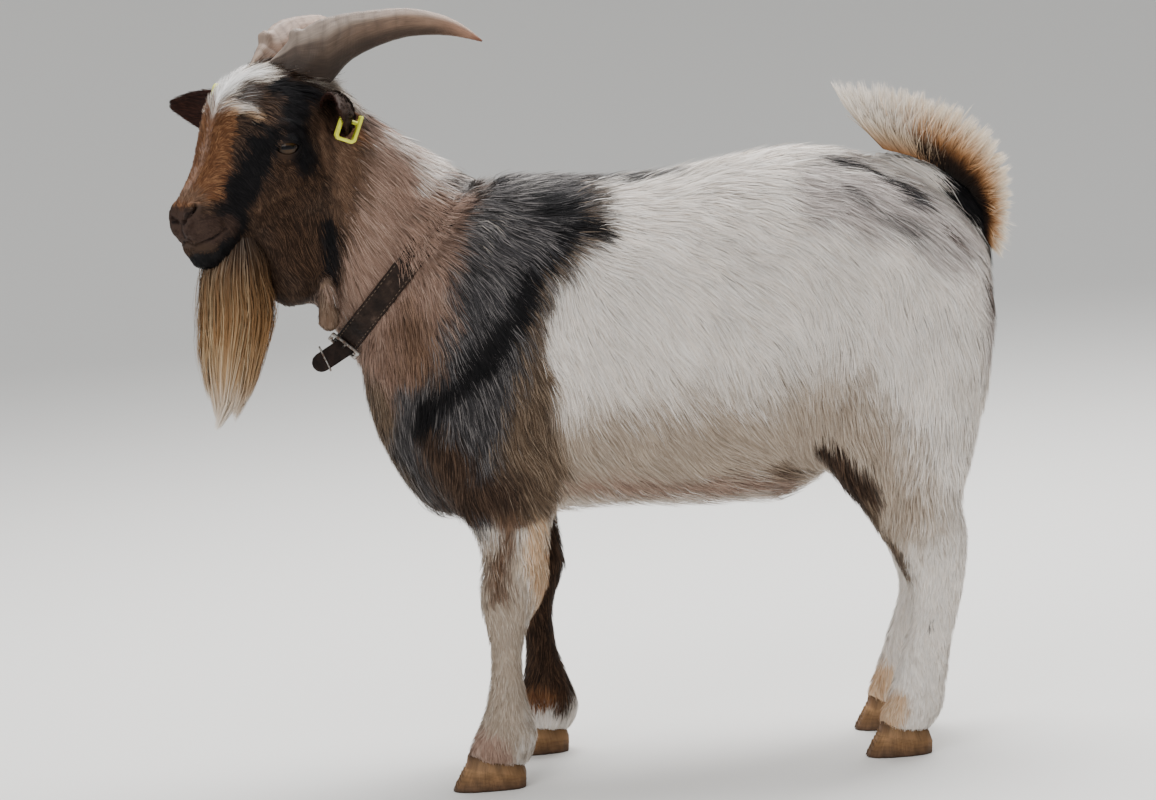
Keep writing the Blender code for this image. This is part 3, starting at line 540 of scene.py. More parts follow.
# Each form: its path, its radius, its soft edge, and how far it is raised or, below 0, pressed in.
FACE_FORMS = (
    (((86, 8, -67), (79, 20, -64), (66, 26, -60)), 6, 7, 1.8),
    (((82, 0, -86), (77, 12, -86), (66, 20, -80)), 4, 5, 1.6),
    (((80, 22, -52), (80, 20, -40), (85, 12, -42)), 3, 5, 1.6),
    (((14, 50, 12), (2, 52, 17), (-12, 52, 14)), 6, 9, 2.2),
    (((20, 44, -10), (12, 48, -12)), 4, 9, -1.8),
    (((22, 44, -24), (-8, 50, -26), (-30, 50, -20)), 5, 9, 1.4),
    (((66, 24, -52), (56, 30, -62)), 3, 6, -1.2),
)
FACE_CREASES = ((LIPS, 0.5, 2.6, -3.2), (NOSE_GROOVE, 0.3, 2.0, -1.3), (NOSTRIL, 1.4, 2.4, -6.0))
MUZZLE_DRAW = 0.5 * MM
HEAD_SMOOTHING = 22
SHRINK, SWELL = 0.5, -0.52  # a round of each smooths the head and keeps its size


def snapped(path, points):
    """A path over the face, made dense and laid on the skin, in millimetres on either side."""
    dense = along_path(np.array(path, float), np.linspace(0, 1, 25))
    face = face_shares(points)
    face = face[(face[:, 1] >= -0.5) & (face[:, 0] > 30)]
    nearest = [face[np.argmin(((face - place) ** 2).sum(1))] for place in dense]
    return np.array(nearest)


def pressed(points, normals, forms):
    """Points moved in or out along the normals by strokes over both sides of the face."""
    face = face_shares(points)
    face[:, 1] = np.abs(face[:, 1])
    for path, radius, soft, height in forms:
        points = points + normals * (height * MM * stroke(face, path, radius, soft))[:, None]
    return points


def sculpted_face():
    """Draws the muzzle out to its solid, evens the head, and adds the forms and creases."""
    points, edges = points_of(skin_mesh), edges_of(skin_mesh)
    solid, faces, _ = arrays(NODES["head"])
    tree = BVHTree.FromPolygons(solid.tolist(), faces.tolist())
    face = face_shares(points)
    share = smoothstep(30, 52, face[:, 0]) * smoothstep(0, -30, face[:, 2])
    for index in np.flatnonzero(share > 0):
        place, normal, _, _ = tree.find_nearest(points[index])
        target = np.array(place) - np.array(normal) * MUZZLE_DRAW
        points[index] += share[index] * (target - points[index])
    near = np.flatnonzero(on_the_head(points))
    for _ in range(HEAD_SMOOTHING):
        points[near] = evened(points, edges, 1, SHRINK)[near]
        points[near] = evened(points, edges, 1, SWELL)[near]
    set_points(skin_mesh, points)
    normals = unit(evened(normals_of(skin_mesh), edges, 6))
    points = pressed(points, normals, FACE_FORMS)
    creases = [(snapped(path, points), *rest) for path, *rest in FACE_CREASES]
    set_points(skin_mesh, pressed(points, normals, creases))
    return creases


CREASES = sculpted_face()
print("face:", len(FACE_FORMS), "soft forms and", len(CREASES), "creases on each side")

# %% [markdown]
# ## The eyelids and the ears
# A lid is a fold of skin that slides over a wet ball. Each eye gets its own ring of mesh, because the
# voxel net is too coarse for a rim of a millimetre: it starts at the opening, rises over the ball, dips
# in the lid's fold and runs out into the cheek. The ears are finer copies of their solids.

# %% Eyelids
EYE_TURN = math.radians(24)  # how far each eye looks forward of straight aside
EYE_OPENING = (10.4, 4.0, 6.0)  # mm: half the width, then the reach above and below the middle
LID_REACH = 18.0  # mm from the eye's middle to the ring's outer edge
LID_RINGS = 12
LID_STEPS = 64
LID_THICKNESS = 1.7  # mm over the ball
LID_SOFTNESS = 1.8  # mm over which the lid and the cheek run together
LID_CREASE, LID_CREASE_AT, LID_CREASE_WIDTH = 0.9, 0.30, 0.06  # mm deep; its place as a share outward
RAY_START = 60 * MM


def eye_axes(side):
    """For one eye: the way it looks, along its slit, and up."""
    turn = SIDES[side]
    look = unit(math.cos(EYE_TURN) * turn * ASIDE + math.sin(EYE_TURN) * FORWARD)
    slit = unit(np.cross(UP, look))
    return look, slit, np.cross(look, slit)


def eye_shares(points, side):
    """Points in millimetres along the slit, up, and outward from the middle of one eye."""
    look, slit, up = eye_axes(side)
    moved = (points - EYES[side]) / MM
    return moved @ slit, moved @ up, moved @ look


def lid_profile(share, inner, skin_depth, reach):
    """How far out the lid stands: from its rolled rim, over the eyeball, to the skin."""
    ball = EYE_RADIUS / MM
    dome = np.sqrt(np.maximum((ball + LID_THICKNESS) ** 2 - reach ** 2, 0.0))
    both = LID_SOFTNESS * np.logaddexp(dome / LID_SOFTNESS, skin_depth / LID_SOFTNESS)
    both = both + smoothstep(0.5, 1.0, share) * (skin_depth - both)
    rim = np.sqrt(np.maximum((ball + 0.15) ** 2 - inner ** 2, 0.0))
    rolled = smoothstep(0.0, 0.07, share)
    crease = LID_CREASE * np.exp(-((share - LID_CREASE_AT) / LID_CREASE_WIDTH) ** 2)
    return rim + rolled * (both - rim) - crease


def eyelids(side, tree):
    """A ring of skin round one eye, from the rim of the lids out to the face."""
    look, slit, up = eye_axes(side)
    half, above, below = EYE_OPENING
    angle = np.linspace(0, 2 * math.pi, LID_STEPS, endpoint=False)
    rim = np.stack([half * np.cos(angle), np.where(np.sin(angle) > 0, above, below) * np.sin(angle)], 1)
    rim[:, 1] *= np.abs(np.sin(angle)) ** 0.15
    far = LID_REACH * np.stack([np.cos(angle), np.sin(angle)], 1)
    rings = []
    for ring in range(LID_RINGS):
        share = (ring / (LID_RINGS - 1)) ** 1.25
        flat = rim + (far - rim) * share
        start = EYES[side] + look * RAY_START + MM * (flat[:, :1] * slit + flat[:, 1:] * up)
        hits = [tree.ray_cast(p, (-look).tolist())[0] for p in start.tolist()]
        depth = np.array([(np.array(hit) - EYES[side]) @ look / MM for hit in hits])
        out = lid_profile(share, np.hypot(*rim.T), depth, np.hypot(*flat.T))
        rings.append(EYES[side] + MM * (out[:, None] * look + flat[:, :1] * slit + flat[:, 1:] * up))
    points = np.concatenate(rings)
    faces = []
    for ring in range(LID_RINGS - 1):
        for k in range(LID_STEPS):
            a, b = ring * LID_STEPS + k, ring * LID_STEPS + (k + 1) % LID_STEPS
            faces += [(a, a + LID_STEPS, b + LID_STEPS), (a, b + LID_STEPS, b)]
    return points, np.array(faces)


def opened_eyes():
    """Makes room for the eyeballs: the skin over each eye goes behind its lids."""
    points, faces = points_of(skin_mesh), triangles_of(skin_mesh)
    tree = BVHTree.FromPolygons(points.tolist(), faces.tolist())
    rings = [eyelids(side, tree) for side in SIDES]
    for side in SIDES:
        look = eye_axes(side)[0]
        along, high, out = eye_shares(points, side)
        share = smoothstep(LID_REACH - 1.0, LID_REACH - 6.0, np.hypot(along, high)) * (out > -12)
        points = points - look * (share * np.maximum(out + 4.0, 5.0) * MM)[:, None]
    return (points, faces), rings


# %% Ears
EAR_VOXEL = 1.1 * MM
EAR_ROOT_BACK = 55 * MM  # from the eye to the ear's root


def fine_copy(name, voxel, rounds=4):
    """A solid with a fine even net and its edges softened: points and triangles."""
    mesh = voxel_skin([arrays(NODES[name])[:2]], voxel)
    points = evened(points_of(mesh), edges_of(mesh), rounds)
    set_points(mesh, points)
    return points_of(mesh), triangles_of(mesh)


def ear_axes(name, side):
    """For one ear: the way from its root to its tip, and the way that its cup opens."""
    points = arrays(NODES[name])[0]
    root = EYES[side] - EAR_ROOT_BACK * FORWARD
    far = np.linalg.norm(points - root, axis=1)
    tip = points[far > np.quantile(far, 0.93)].mean(0)
    along = unit(tip - points[far < np.quantile(far, 0.15)].mean(0))
    outer = points[(points - root) @ along > np.quantile((points - root) @ along, 0.6)]
    flat = outer - outer.mean(0)
    flat = flat - (flat @ along)[:, None] * along
    thin, wide = np.linalg.eigh(flat.T @ flat)[1][:, 1:].T
    across, deep = np.abs(flat @ wide), flat @ thin
    sign = np.sign(deep[across > 0.7 * across.max()].mean() - deep[across < 0.4 * across.max()].mean())
    return along, thin * sign


EAR_AXES = {name: ear_axes(name, side) for name, side in zip(EARS, SIDES)}
print("ears:", {name: [axis.round(2).tolist() for axis in pair] for name, pair in EAR_AXES.items()})

face_part, lid_parts = opened_eyes()
ear_parts = [fine_copy(name, EAR_VOXEL, 3) for name in EARS]
ISLANDS = [face_part, *lid_parts, *ear_parts]
skin_mesh = mesh_from("skin", *joined(ISLANDS))


def ear_islands(count):
    """Which points belong to the ears: 1 on the left one, 2 on the right one, and 0 elsewhere."""
    marks = np.zeros(count, int)
    start = sum(len(part[0]) for part in ISLANDS[:-2])
    middle = start + len(ISLANDS[-2][0])
    marks[start:middle] = 1
    marks[middle:] = 2
    return marks


print("skin with lids and ears:", len(skin_mesh.vertices), "points")


# %% [markdown]
# ## The markings
# The skin and each lock of hair ask the same functions for their colour. A marking is a stroke: a path
# over the body with a radius and a soft edge. Each kind of pelt is a mix of a few hair colours, because
# grey on a goat is black and white hairs side by side. A painted picture would be quicker to make, but
# strokes have no seams, and they stay sharp from near.

# %% Kinds of pelt
# Each pelt: its hair colours, and the share of the hairs that has each.
PELTS = {
    "cream": (("#F1ECE6", 0.50), ("#E8DFD5", 0.38), ("#D8C8B8", 0.12)),
    # The sand pelt is a dirty tan, and also painted shade low on the body and legs.
    "sand": (("#B09F8D", 0.50), ("#948271", 0.30), ("#CCBEAF", 0.20)),
    "white": (("#F8F6F4", 0.80), ("#E6E0DA", 0.20)),
    # The mottle pelt is the rump's grey-brown tint, and also painted shade down the back of the thighs.
    "mottle": (("#DCD4CE", 0.45), ("#B4A8A2", 0.38), ("#8A7D79", 0.17)),
    "ash": (("#232224", 0.36), ("#6E6967", 0.38), ("#B5AFAA", 0.26)),
    "grizzle": (("#121214", 0.52), ("#434143", 0.30), ("#8A8482", 0.18)),
    "black": (("#0B0B0D", 0.78), ("#221F20", 0.22)),
    "dun": (("#A48676", 0.45), ("#BFA595", 0.30), ("#765B4B", 0.25)),
    "blush": (("#957868", 0.50), ("#B49A8A", 0.25), ("#6C5144", 0.25)),
    "agouti": (("#32271F", 0.48), ("#6A5644", 0.34), ("#A08B76", 0.18)),
    "dusk": (("#1C1512", 0.52), ("#3E2E24", 0.32), ("#6B5444", 0.16)),
    # The umber, fawn, muzzle and wattle pelts are darker than these hairs are in light: partly their own
    # brown, partly painted shade, as the head and throat lie in shade.
    "umber": (("#1B130F", 0.48), ("#382920", 0.35), ("#6B503D", 0.17)),
    "fawn": (("#6A4F3D", 0.45), ("#8E705A", 0.30), ("#3F2E24", 0.25)),
    "rust": (("#6A432B", 0.44), ("#A07350", 0.32), ("#3C251A", 0.24)),
    "apricot": (("#D6AE86", 0.50), ("#EAD6BC", 0.35), ("#A2764E", 0.15)),
    "muzzle": (("#3A2B25", 0.60), ("#4E3D34", 0.25), ("#241B18", 0.15)),
    "frost": (("#EFE6DA", 0.48), ("#B8A48F", 0.28), ("#4E4036", 0.24)),
    # The crease pelt is painted shade, laid in the creases of the lips, the nose and the nostrils.
    "crease": (("#0C090A", 0.80), ("#1B1616", 0.20)),
    "ear_fold": (("#2C1A16", 0.50), ("#4A2C22", 0.25), ("#120C0C", 0.25)),
    "wattle": (("#664E3D", 0.45), ("#A08A78", 0.30), ("#453327", 0.25)),
    "ear_back": (("#1C110C", 0.55), ("#33221A", 0.30), ("#5A4130", 0.15)),
}
PELT_NAMES = list(PELTS)
print("pelts:", ", ".join(PELT_NAMES))


# %% Waves that make the markings' edges wander
WAVES = 14  # how many plane waves are laid over each other


def waves(points, length, seed):
    """A smooth random field from about -1 to 1 with that wavelength, the same on each run."""
    draw = np.random.default_rng(seed)
    heading = unit(draw.normal(size=(WAVES, 3))) * (2 * math.pi / length)
    heading = heading * draw.uniform(0.6, 1.7, (WAVES, 1))
    phase = draw.uniform(0, 2 * math.pi, WAVES)
    return np.sin(points @ heading.T + phase).sum(1) / math.sqrt(WAVES / 2) / 1.6


def wandered(points, length, amount, seed):
    """Points moved by smooth random steps, so that no edge runs straight."""
    return points + amount * np.stack([waves(points, length, seed + axis) for axis in range(3)], 1)


MIDDLE = (BOXES["trunk"][0][1] + BOXES["trunk"][1][1]) / 2


def body_shares(points):
    """Millimetres back from the withers, out from the middle line, and above the ground."""
    out = np.abs(points[:, 1] - MIDDLE)
    return np.stack([points[:, 0] - WITHERS_X, out, points[:, 2]], 1) / MM


# Each marking: its pelt, its path, its radius and its soft edge, all in millimetres. On the body a path
# gives how far back from the withers and how high; on the face how far forward of the eyes, aside, and up.
BODY_MARKS = (
    ("blush", ((-60, 570), (-75, 500), (-60, 440), (-90, 400)), 50, 40),
    ("cream", ((-80, 610), (-45, 570)), 14, 30),
    ("fawn", ((-74, 440), (-68, 390), (-66, 345)), 14, 50),
    # The sand strokes on the lower flank, the thigh and the foreleg are partly a dirty tan and partly painted
    # shade on parts that face down, away from the light.
    ("sand", ((60, 310), (140, 318), (236, 300)), 56, 70),
    ("sand", ((290, 335), (326, 285), (345, 235)), 44, 60),
    ("sand", ((-10, 215), (-20, 60)), 30, 40),
    ("agouti", ((-130, 372), (-118, 318), (-96, 262)), 34, 18),
    ("agouti", ((64, 514), (24, 478), (14, 430), (16, 380), (24, 330), (12, 276)), 27, 16),
    ("agouti", ((20, 400), (4, 350), (-4, 290)), 24, 20),
    ("grizzle", ((44, 518), (6, 486), (-10, 430), (-28, 374), (-44, 320), (-44, 280)), 38, 30),
    ("grizzle", ((-72, 372), (-80, 330), (-62, 290)), 22, 18),
    ("grizzle", ((30, 540), (-10, 528), (-32, 500), (-30, 476)), 12, 26),
    ("ash", ((150, 556), (64, 556), (6, 554), (-30, 552)), 15, 18),
    ("black", ((34, 527), (62, 516), (84, 498)), 6, 10),
    ("black", ((62, 510), (42, 486), (24, 468)), 9, 16),
    ("black", ((76, 543), (144, 538)), 3, 9),
    ("black", ((24, 474), (12, 442), (-22, 402), (-56, 372), (-66, 345)), 13, 22),
    ("dusk", ((-50, 322), (-50, 280), (-14, 290)), 22, 22),
    ("mottle", ((282, 521), (346, 511), (410, 478)), 20, 40),
    # Painted shade: this stroke down the back of the thighs stands for their shaded edge.
    ("mottle", ((440, 450), (446, 385)), 12, 20),
    ("agouti", ((228, 250), (238, 282)), 9, 20),
    ("dun", ((60, 288), (228, 258)), 10, 34),
)
LEFT_MARKS = (
    ("dusk", ((282, 310), (290, 298)), 7, 9),
    ("dusk", ((298, 282), (318, 246)), 15, 12),
    ("agouti", ((322, 235), (352, 166)), 9, 14),
    ("fawn", ((-4, 262), (-4, 234), (-14, 190)), 8, 20),
    ("apricot", ((24, 250), (26, 165)), 9, 16),
    ("dun", ((-52, 56), (-30, 34)), 15, 14),
    ("apricot", ((338, 52), (322, 30)), 13, 12),
    ("black", ((373, 118), (374, 118)), 2, 2),
)
RIGHT_MARKS = (
    ("umber", ((20, 262), (12, 70)), 36, 14),
    ("umber", ((-26, 292), (-12, 262)), 26, 18),
    ("rust", ((18, 62), (0, 52)), 12, 10),
    ("cream", ((-20, 38), (20, 34)), 13, 8),
    ("agouti", ((302, 276), (322, 236)), 12, 12),
    ("apricot", ((338, 52), (322, 30)), 13, 12),
)
# These are millimetres back, out from the middle, and up.
CROUP_STRIPES = (
    ("grizzle", ((290, 26, 550), (302, 28, 547), (319, 32, 540), (336, 37, 533), (353, 40, 523),
                 (371, 46, 511)), 8, 6),
    ("black", ((296, 27, 549), (319, 32, 540), (336, 37, 533), (357, 42, 520)), 5, 4),
    ("dusk", ((392, 50, 492), (410, 57, 474)), 6, 6),
    ("dusk", ((436, 40, 458), (443, 54, 438), (442, 60, 408)), 7, 9),
    ("ash", ((296, 64, 524), (322, 68, 510)), 6, 12),
    ("ash", ((340, 67, 502), (366, 71, 484)), 6, 12),
)
DOCK_MARKS = (("black", ((452, 0, 455), (447, 0, 486), (436, 0, 505), (410, 0, 524)), 13, 7),)
FACE_MARKS = (
    ("fawn", ((-60, 45, 10), (-60, 50, -60)), 16, 18),
    ("umber", ((-8, 56, -23), (12, 50, -50), (-10, 45, -90), (-29, 38, -84)), 26, 16),
    ("fawn", ((28, 39, -46), (4, 52, -38)), 3, 16),
    ("fawn", ((-32, 55, 26), (-38, 57, -20)), 5, 8),
    ("black", ((0, 56, 24), (-8, 56, 0), (-12, 56, -8)), 13, 14),
    ("black", ((-40, 44, -62), (-40, 40, -104)), 8, 10),
    ("black", ((4, 34, 58), (-20, 44, 50), (0, 52, 28)), 13, 10),
    ("rust", ((44, 4, 24), (55, 8, 3), (62, 8, -13), (72, 4, -30)), 21, 8),
    ("black", ((22, 47, 24), (28, 44, 4), (36, 41, -14), (46, 35, -30)), 14, 9),
    ("black", ((46, 35, -30), (56, 31, -48)), 13, 12),
    ("black", ((46, 30, -58), (42, 28, -82)), 9, 10),
    ("dun", ((50, 0, 28), (58, 0, 3), (72, 0, -20), (80, 0, -36)), 3, 11),
    ("fawn", ((80, 0, -36), (79, 14, -40)), 5, 8),
    ("muzzle", ((88, 0, -60), (80, 16, -62), (64, 27, -66)), 15, 7),
    ("black", ((80, 0, -99), (74, 13, -98), (55, 18, -98), (38, 20, -93)), 12, 5),
    ("black", ((66, 18, -92), (54, 24, -84), (46, 30, -74)), 8, 7),
    ("ash", ((34, 16, 52), (24, 28, 50)), 5, 10),
    ("dusk", ((42, 30, 24), (26, 46, 20)), 3, 6),
    ("fawn", ((28, 38, 35), (12, 50, 28)), 3, 10),
    ("apricot", ((44, 10, 38), (38, 24, 38), (28, 38, 35)), 4, 8),
    ("cream", ((47, 0, 38), (40, 18, 41), (32, 30, 40)), 5, 9),
    ("apricot", ((46, 14, 33), (38, 26, 36)), 2, 7),
    ("frost", ((36, 0, 52), (24, 0, 64), (8, 14, 68)), 14, 9),
    ("white", ((38, 0, 50), (24, 4, 64), (14, 12, 66)), 9, 9),
    ("frost", ((-40, 30, 60), (-57, 42, 53), (-72, 34, 40)), 9, 12),
    ("rust", ((-62, 40, 26), (-70, 44, 6)), 10, 12),
)


# %% Which pelt grows where
SHARES = ("head", "neck", "ear", "fold", "wattle")
MIXING = 0.4  # how far each hair's colour is drawn to the mean of those round it
CREASE_SHADE_RIM = 0.8  # mm beside each crease, painted near black as shade


def pelt_layers(points, shares):
    """The pelts from the ground colour up, each as its index and its share at every point."""
    head_share = shares["head"]
    body = body_shares(wandered(points, 0.045, 0.004, 11))
    face = face_shares(wandered(points, 0.022, 0.0016, 23))
    face[:, 1] = np.abs(face[:, 1])
    flank = body[:, [0, 2]]
    on_body = 1 - head_share
    left = points[:, 1] < MIDDLE
    front = np.clip(shares["neck"] + head_share + shares["wattle"], 0, 1)
    layers = [("cream", np.ones(len(points))), ("dun", front), ("dusk", head_share)]
    layers += [(pelt, on_body * stroke(flank, *rest)) for pelt, *rest in BODY_MARKS]
    layers += [(pelt, on_body * left * stroke(flank, *rest)) for pelt, *rest in LEFT_MARKS]
    layers += [(pelt, on_body * ~left * stroke(flank, *rest)) for pelt, *rest in RIGHT_MARKS]
    layers += [(pelt, left * stroke(body, *rest)) for pelt, *rest in CROUP_STRIPES]
    layers += [(pelt, on_body * stroke(body, *rest)) for pelt, *rest in DOCK_MARKS]
    layers += [(pelt, head_share * stroke(face, *rest)) for pelt, *rest in FACE_MARKS]
    # Painted shade: the lips' line, the nose's groove and the nostrils are coloured near black.
    layers += [("crease", head_share * stroke(face, path, radius + CREASE_SHADE_RIM, soft))
               for path, radius, soft, _ in CREASES]
    layers += [("wattle", shares["wattle"]), ("ear_back", shares["ear"]), ("ear_fold", shares["fold"])]
    return [(PELT_NAMES.index(pelt), share) for pelt, share in layers]


def hair_colours(points, shares, lock_draw, hair_draw):
    """A colour for each hair: a lock draws its pelt, and each hair one of the pelt's colours."""
    pelt = np.zeros(len(points), int)
    for step, (index, share) in enumerate(pelt_layers(points, shares)):
        draw = (0.62 * lock_draw + 0.38 * hair_draw + 0.377 * step) % 1.0
        pelt = np.where(draw < share, index, pelt)
    colours = np.zeros((len(points), 3))
    pick = (0.5 * lock_draw + 0.5 * hair_draw * 1.37 + 0.31) % 1.0
    for index, name in enumerate(PELT_NAMES):
        tops = np.cumsum([share for _, share in PELTS[name]])
        choice = np.minimum(np.searchsorted(tops, pick), len(tops) - 1)
        table = np.array([linear(code) for code, _ in PELTS[name]])
        colours = np.where((pelt == index)[:, None], table[choice], colours)
    return colours + MIXING * (skin_colours(points, shares, 1.0) - colours)


def skin_colours(points, shares, shade=0.85):
    """The hide's colour: the mean of the hairs that grow there, a little darker."""
    means = [sum(share * np.array(linear(code)) for code, share in PELTS[name]) for name in PELT_NAMES]
    colours = np.zeros((len(points), 3))
    for index, share in pelt_layers(points, shares):
        colours = colours + share[:, None] * (means[index] - colours)
    return colours * shade


# %% [markdown]
# ## The lie of the coat
# Hair on a goat doesn't point anywhere it likes. It sweeps back from the nose, down the cheeks and the
# neck, back along the spine, and ever more steeply down the flanks and legs. A few combing guides say
# so, and every point of the skin takes a mean of the guides that are near.

# %% Combing guides
BODY_COMBING = (
    ((-75, 610), (0.75, -0.65)), ((-45, 570), (0.85, -0.50)), ((-85, 540), (0.60, -0.80)),
    ((-80, 500), (0.35, -0.93)), ((-110, 470), (0.05, -1.00)), ((-42, 484), (0.60, -0.80)),
    ((-5, 490), (0.68, -0.73)), ((-55, 424), (0.30, -0.95)), ((-60, 370), (0.00, -1.00)),
    ((-95, 330), (0.10, -1.00)), ((0, 550), (0.93, -0.35)), ((70, 550), (0.97, -0.25)),
    ((60, 500), (0.75, -0.65)), ((45, 440), (0.35, -0.94)), ((40, 370), (0.10, -1.00)),
    ((150, 545), (0.98, -0.20)), ((140, 500), (0.85, -0.50)), ((150, 440), (0.68, -0.74)),
    ((140, 370), (0.42, -0.90)), ((130, 300), (0.40, -0.90)), ((240, 545), (0.98, -0.20)),
    ((240, 480), (0.80, -0.60)), ((230, 420), (0.55, -0.83)), ((220, 350), (0.35, -0.93)),
    ((320, 550), (0.95, -0.30)), ((350, 520), (0.80, -0.60)), ((340, 470), (0.50, -0.87)),
    ((400, 500), (0.70, -0.72)), ((425, 440), (0.15, -1.00)), ((350, 400), (0.10, -1.00)),
    ((400, 340), (0.00, -1.00)), ((320, 320), (0.10, -1.00)), ((370, 200), (0.00, -1.00)),
    ((370, 80), (0.00, -1.00)), ((0, 200), (0.05, -1.00)), ((-20, 70), (0.00, -1.00)),
    ((100, 250), (0.80, -0.60)), ((220, 250), (0.90, -0.40)),
)
FACE_COMBING = (
    ((88, 0, -50), (-0.60, 0.30, 0.70)), ((70, 0, -15), (-0.55, 0.15, 0.83)),
    ((52, 0, 20), (-0.60, 0.20, 0.75)), ((40, 0, 48), (-0.75, 0.40, 0.40)),
    ((34, 25, 44), (-0.55, 0.68, -0.40)), ((28, 0, 62), (-0.80, 0.30, 0.20)),
    ((0, 30, 62), (-0.90, 0.35, -0.20)), ((10, 50, 30), (-0.70, 0.30, -0.60)),
    ((45, 38, -10), (-0.60, 0.20, -0.75)), ((66, 20, -30), (-0.60, 0.30, -0.50)),
    ((5, 58, -25), (-0.45, 0.00, -0.90)), ((0, 50, -55), (-0.50, 0.00, -0.87)),
    ((-10, 42, -85), (-0.40, 0.00, -0.90)), ((60, 28, -62), (-0.60, 0.10, -0.75)),
    ((65, 10, -95), (-0.40, 0.00, -0.90)), ((86, 10, -70), (-0.40, 0.20, -0.85)),
    ((-40, 56, 0), (-0.35, 0.00, -0.93)), ((-65, 45, 20), (-0.75, 0.10, -0.65)),
    ((-40, 10, 60), (-0.90, 0.00, -0.40)),
)


def guided(places, guides, reach):
    """The mean of the guides' directions round each place, weighted by nearness."""
    weight = np.array([np.exp(-((places - g[0]) ** 2).sum(1) / (2 * reach * reach)) for g in guides]).T
    return unit((weight + 1e-9) @ np.array([g[1] for g in guides]))


def lie_of_the_coat(points, normals, head_share):
    """The direction in which the hair lies at each point, along the skin."""
    flank = guided(body_shares(points)[:, [0, 2]], BODY_COMBING, 45)
    body_lie = np.stack([flank[:, 0], np.zeros(len(points)), flank[:, 1]], 1)
    face = face_shares(points)
    side = np.sign(face[:, 1])
    face[:, 1] = np.abs(face[:, 1])
    combed = guided(face, FACE_COMBING, 18)
    axes = np.array([FORWARD, ASIDE, UP])
    face_lie = combed * np.stack([np.ones(len(side)), side, np.ones(len(side))], 1) @ axes
    lie = unit(body_lie + head_share[:, None] * (face_lie - body_lie))
    swirl = 0.22 * waves(points, 0.07, 5) + 0.12 * waves(points, 0.022, 6)
    lie = lie + np.cross(normals, lie) * swirl[:, None]
    return unit(lie - normals * (lie * normals).sum(1)[:, None])


# %% Hair length over the body
HAIR_LENGTH = {"head": 11, "neck": 42, "trunk": 40, "upper": 27, "lower": 14,
               "ear_left": 8, "ear_right": 8, "wattle_left": 16, "wattle_right": 16}
HAIR_WIDTH = {"head": 0.45, "neck": 0.6, "trunk": 0.6, "upper": 0.6, "lower": 0.5,
              "ear_left": 0.45, "ear_right": 0.45, "wattle_left": 0.5, "wattle_right": 0.5}
LENGTH_MARKS = (
    (((88, 0, -55), (80, 14, -66)), 22, 20, 0.3), (((60, 26, -70), (82, 10, -88)), 10, 8, 0.4),
    (((74, 0, -10), (60, 0, 10)), 22, 20, 0.6), (((2, 56, 0), (-4, 56, 0)), 15, 12, 0.4),
    (((44, 0, 44), (6, 16, 68)), 20, 18, 2.4), (((36, 26, 44), (12, 48, 28)), 8, 8, 1.5),
    (((-10, 42, -90), (-40, 44, -90)), 22, 30, 2.2), (((78, 0, -100), (52, 18, -98)), 10, 8, 1.5),
    (((-40, 34, 58), (-64, 34, 46)), 20, 18, 3.4),
)


def per_group(table, names):
    """A table's value for each node, found by its name or by its last word."""
    return np.array([table.get(name, table.get(name.rsplit("_", 1)[-1])) for name in names], float)


def field_set(mesh):
    """All that the coat needs to know at each point of the skin."""
    points, edges, normals = points_of(mesh), edges_of(mesh), normals_of(mesh)
    owner = nearest_node(points)
    fields = {"point": points, "normal": unit(evened(normals, edges, 2)), "owner": owner}
    share = evened(np.stack([owner == HIDE.index("head"), owner == HIDE.index("neck")], 1), edges, 10)
    fields["head"], fields["neck"] = share.T
    island = ear_islands(len(points))
    fields["ear"] = (island > 0).astype(float)
    cups = np.array([np.zeros(3)] + [EAR_AXES[name][1] for name in EARS])[island]
    fields["fold"] = fields["ear"] * ((fields["normal"] * cups).sum(1) > 0.15)
    fields["wattle"] = evened(np.isin(owner, [HIDE.index(name) for name in WATTLES]), edges, 4)[:, 0]
    fields["length"] = evened(per_group(HAIR_LENGTH, HIDE)[owner], edges, 25)[:, 0] * MM
    fields["width"] = evened(per_group(HAIR_WIDTH, HIDE)[owner], edges, 25)[:, 0] * MM
    fields["rise"] = evened(per_group(COAT_DEPTH, HIDE)[owner], edges, 25)[:, 0] * MM
    face = face_shares(points)
    face[:, 1] = np.abs(face[:, 1])
    for path, radius, soft, factor in LENGTH_MARKS:
        share = stroke(face, path, radius, soft) * fields["head"]
        fields["length"] = fields["length"] * (1 + share * (factor - 1))
        fields["rise"] = fields["rise"] * (1 + share * (factor - 1))
    lie = lie_of_the_coat(points, fields["normal"], fields["head"])
    for index, name in enumerate(EARS):
        on_ear = island == index + 1
        lie[on_ear] = EAR_AXES[name][0]
    fields["lie"] = unit(lie - fields["normal"] * (lie * fields["normal"]).sum(1)[:, None])
    return fields


SKIN = placed("skin", skin_mesh)
SKIN_FACES = triangles_of(skin_mesh)
FIELDS = field_set(skin_mesh)
SKIN_TREE = BVHTree.FromPolygons(FIELDS["point"].tolist(), SKIN_FACES.tolist())
print("skin triangles:", len(SKIN_FACES), round(time.time() - STARTED, 1), "s")

# %% [markdown]
# ## An unwrap of the skin
# Every lock of hair keeps its place on a flat map of the skin, so that colours can be baked later. The
# map is made once, on a lighter copy of the skin.

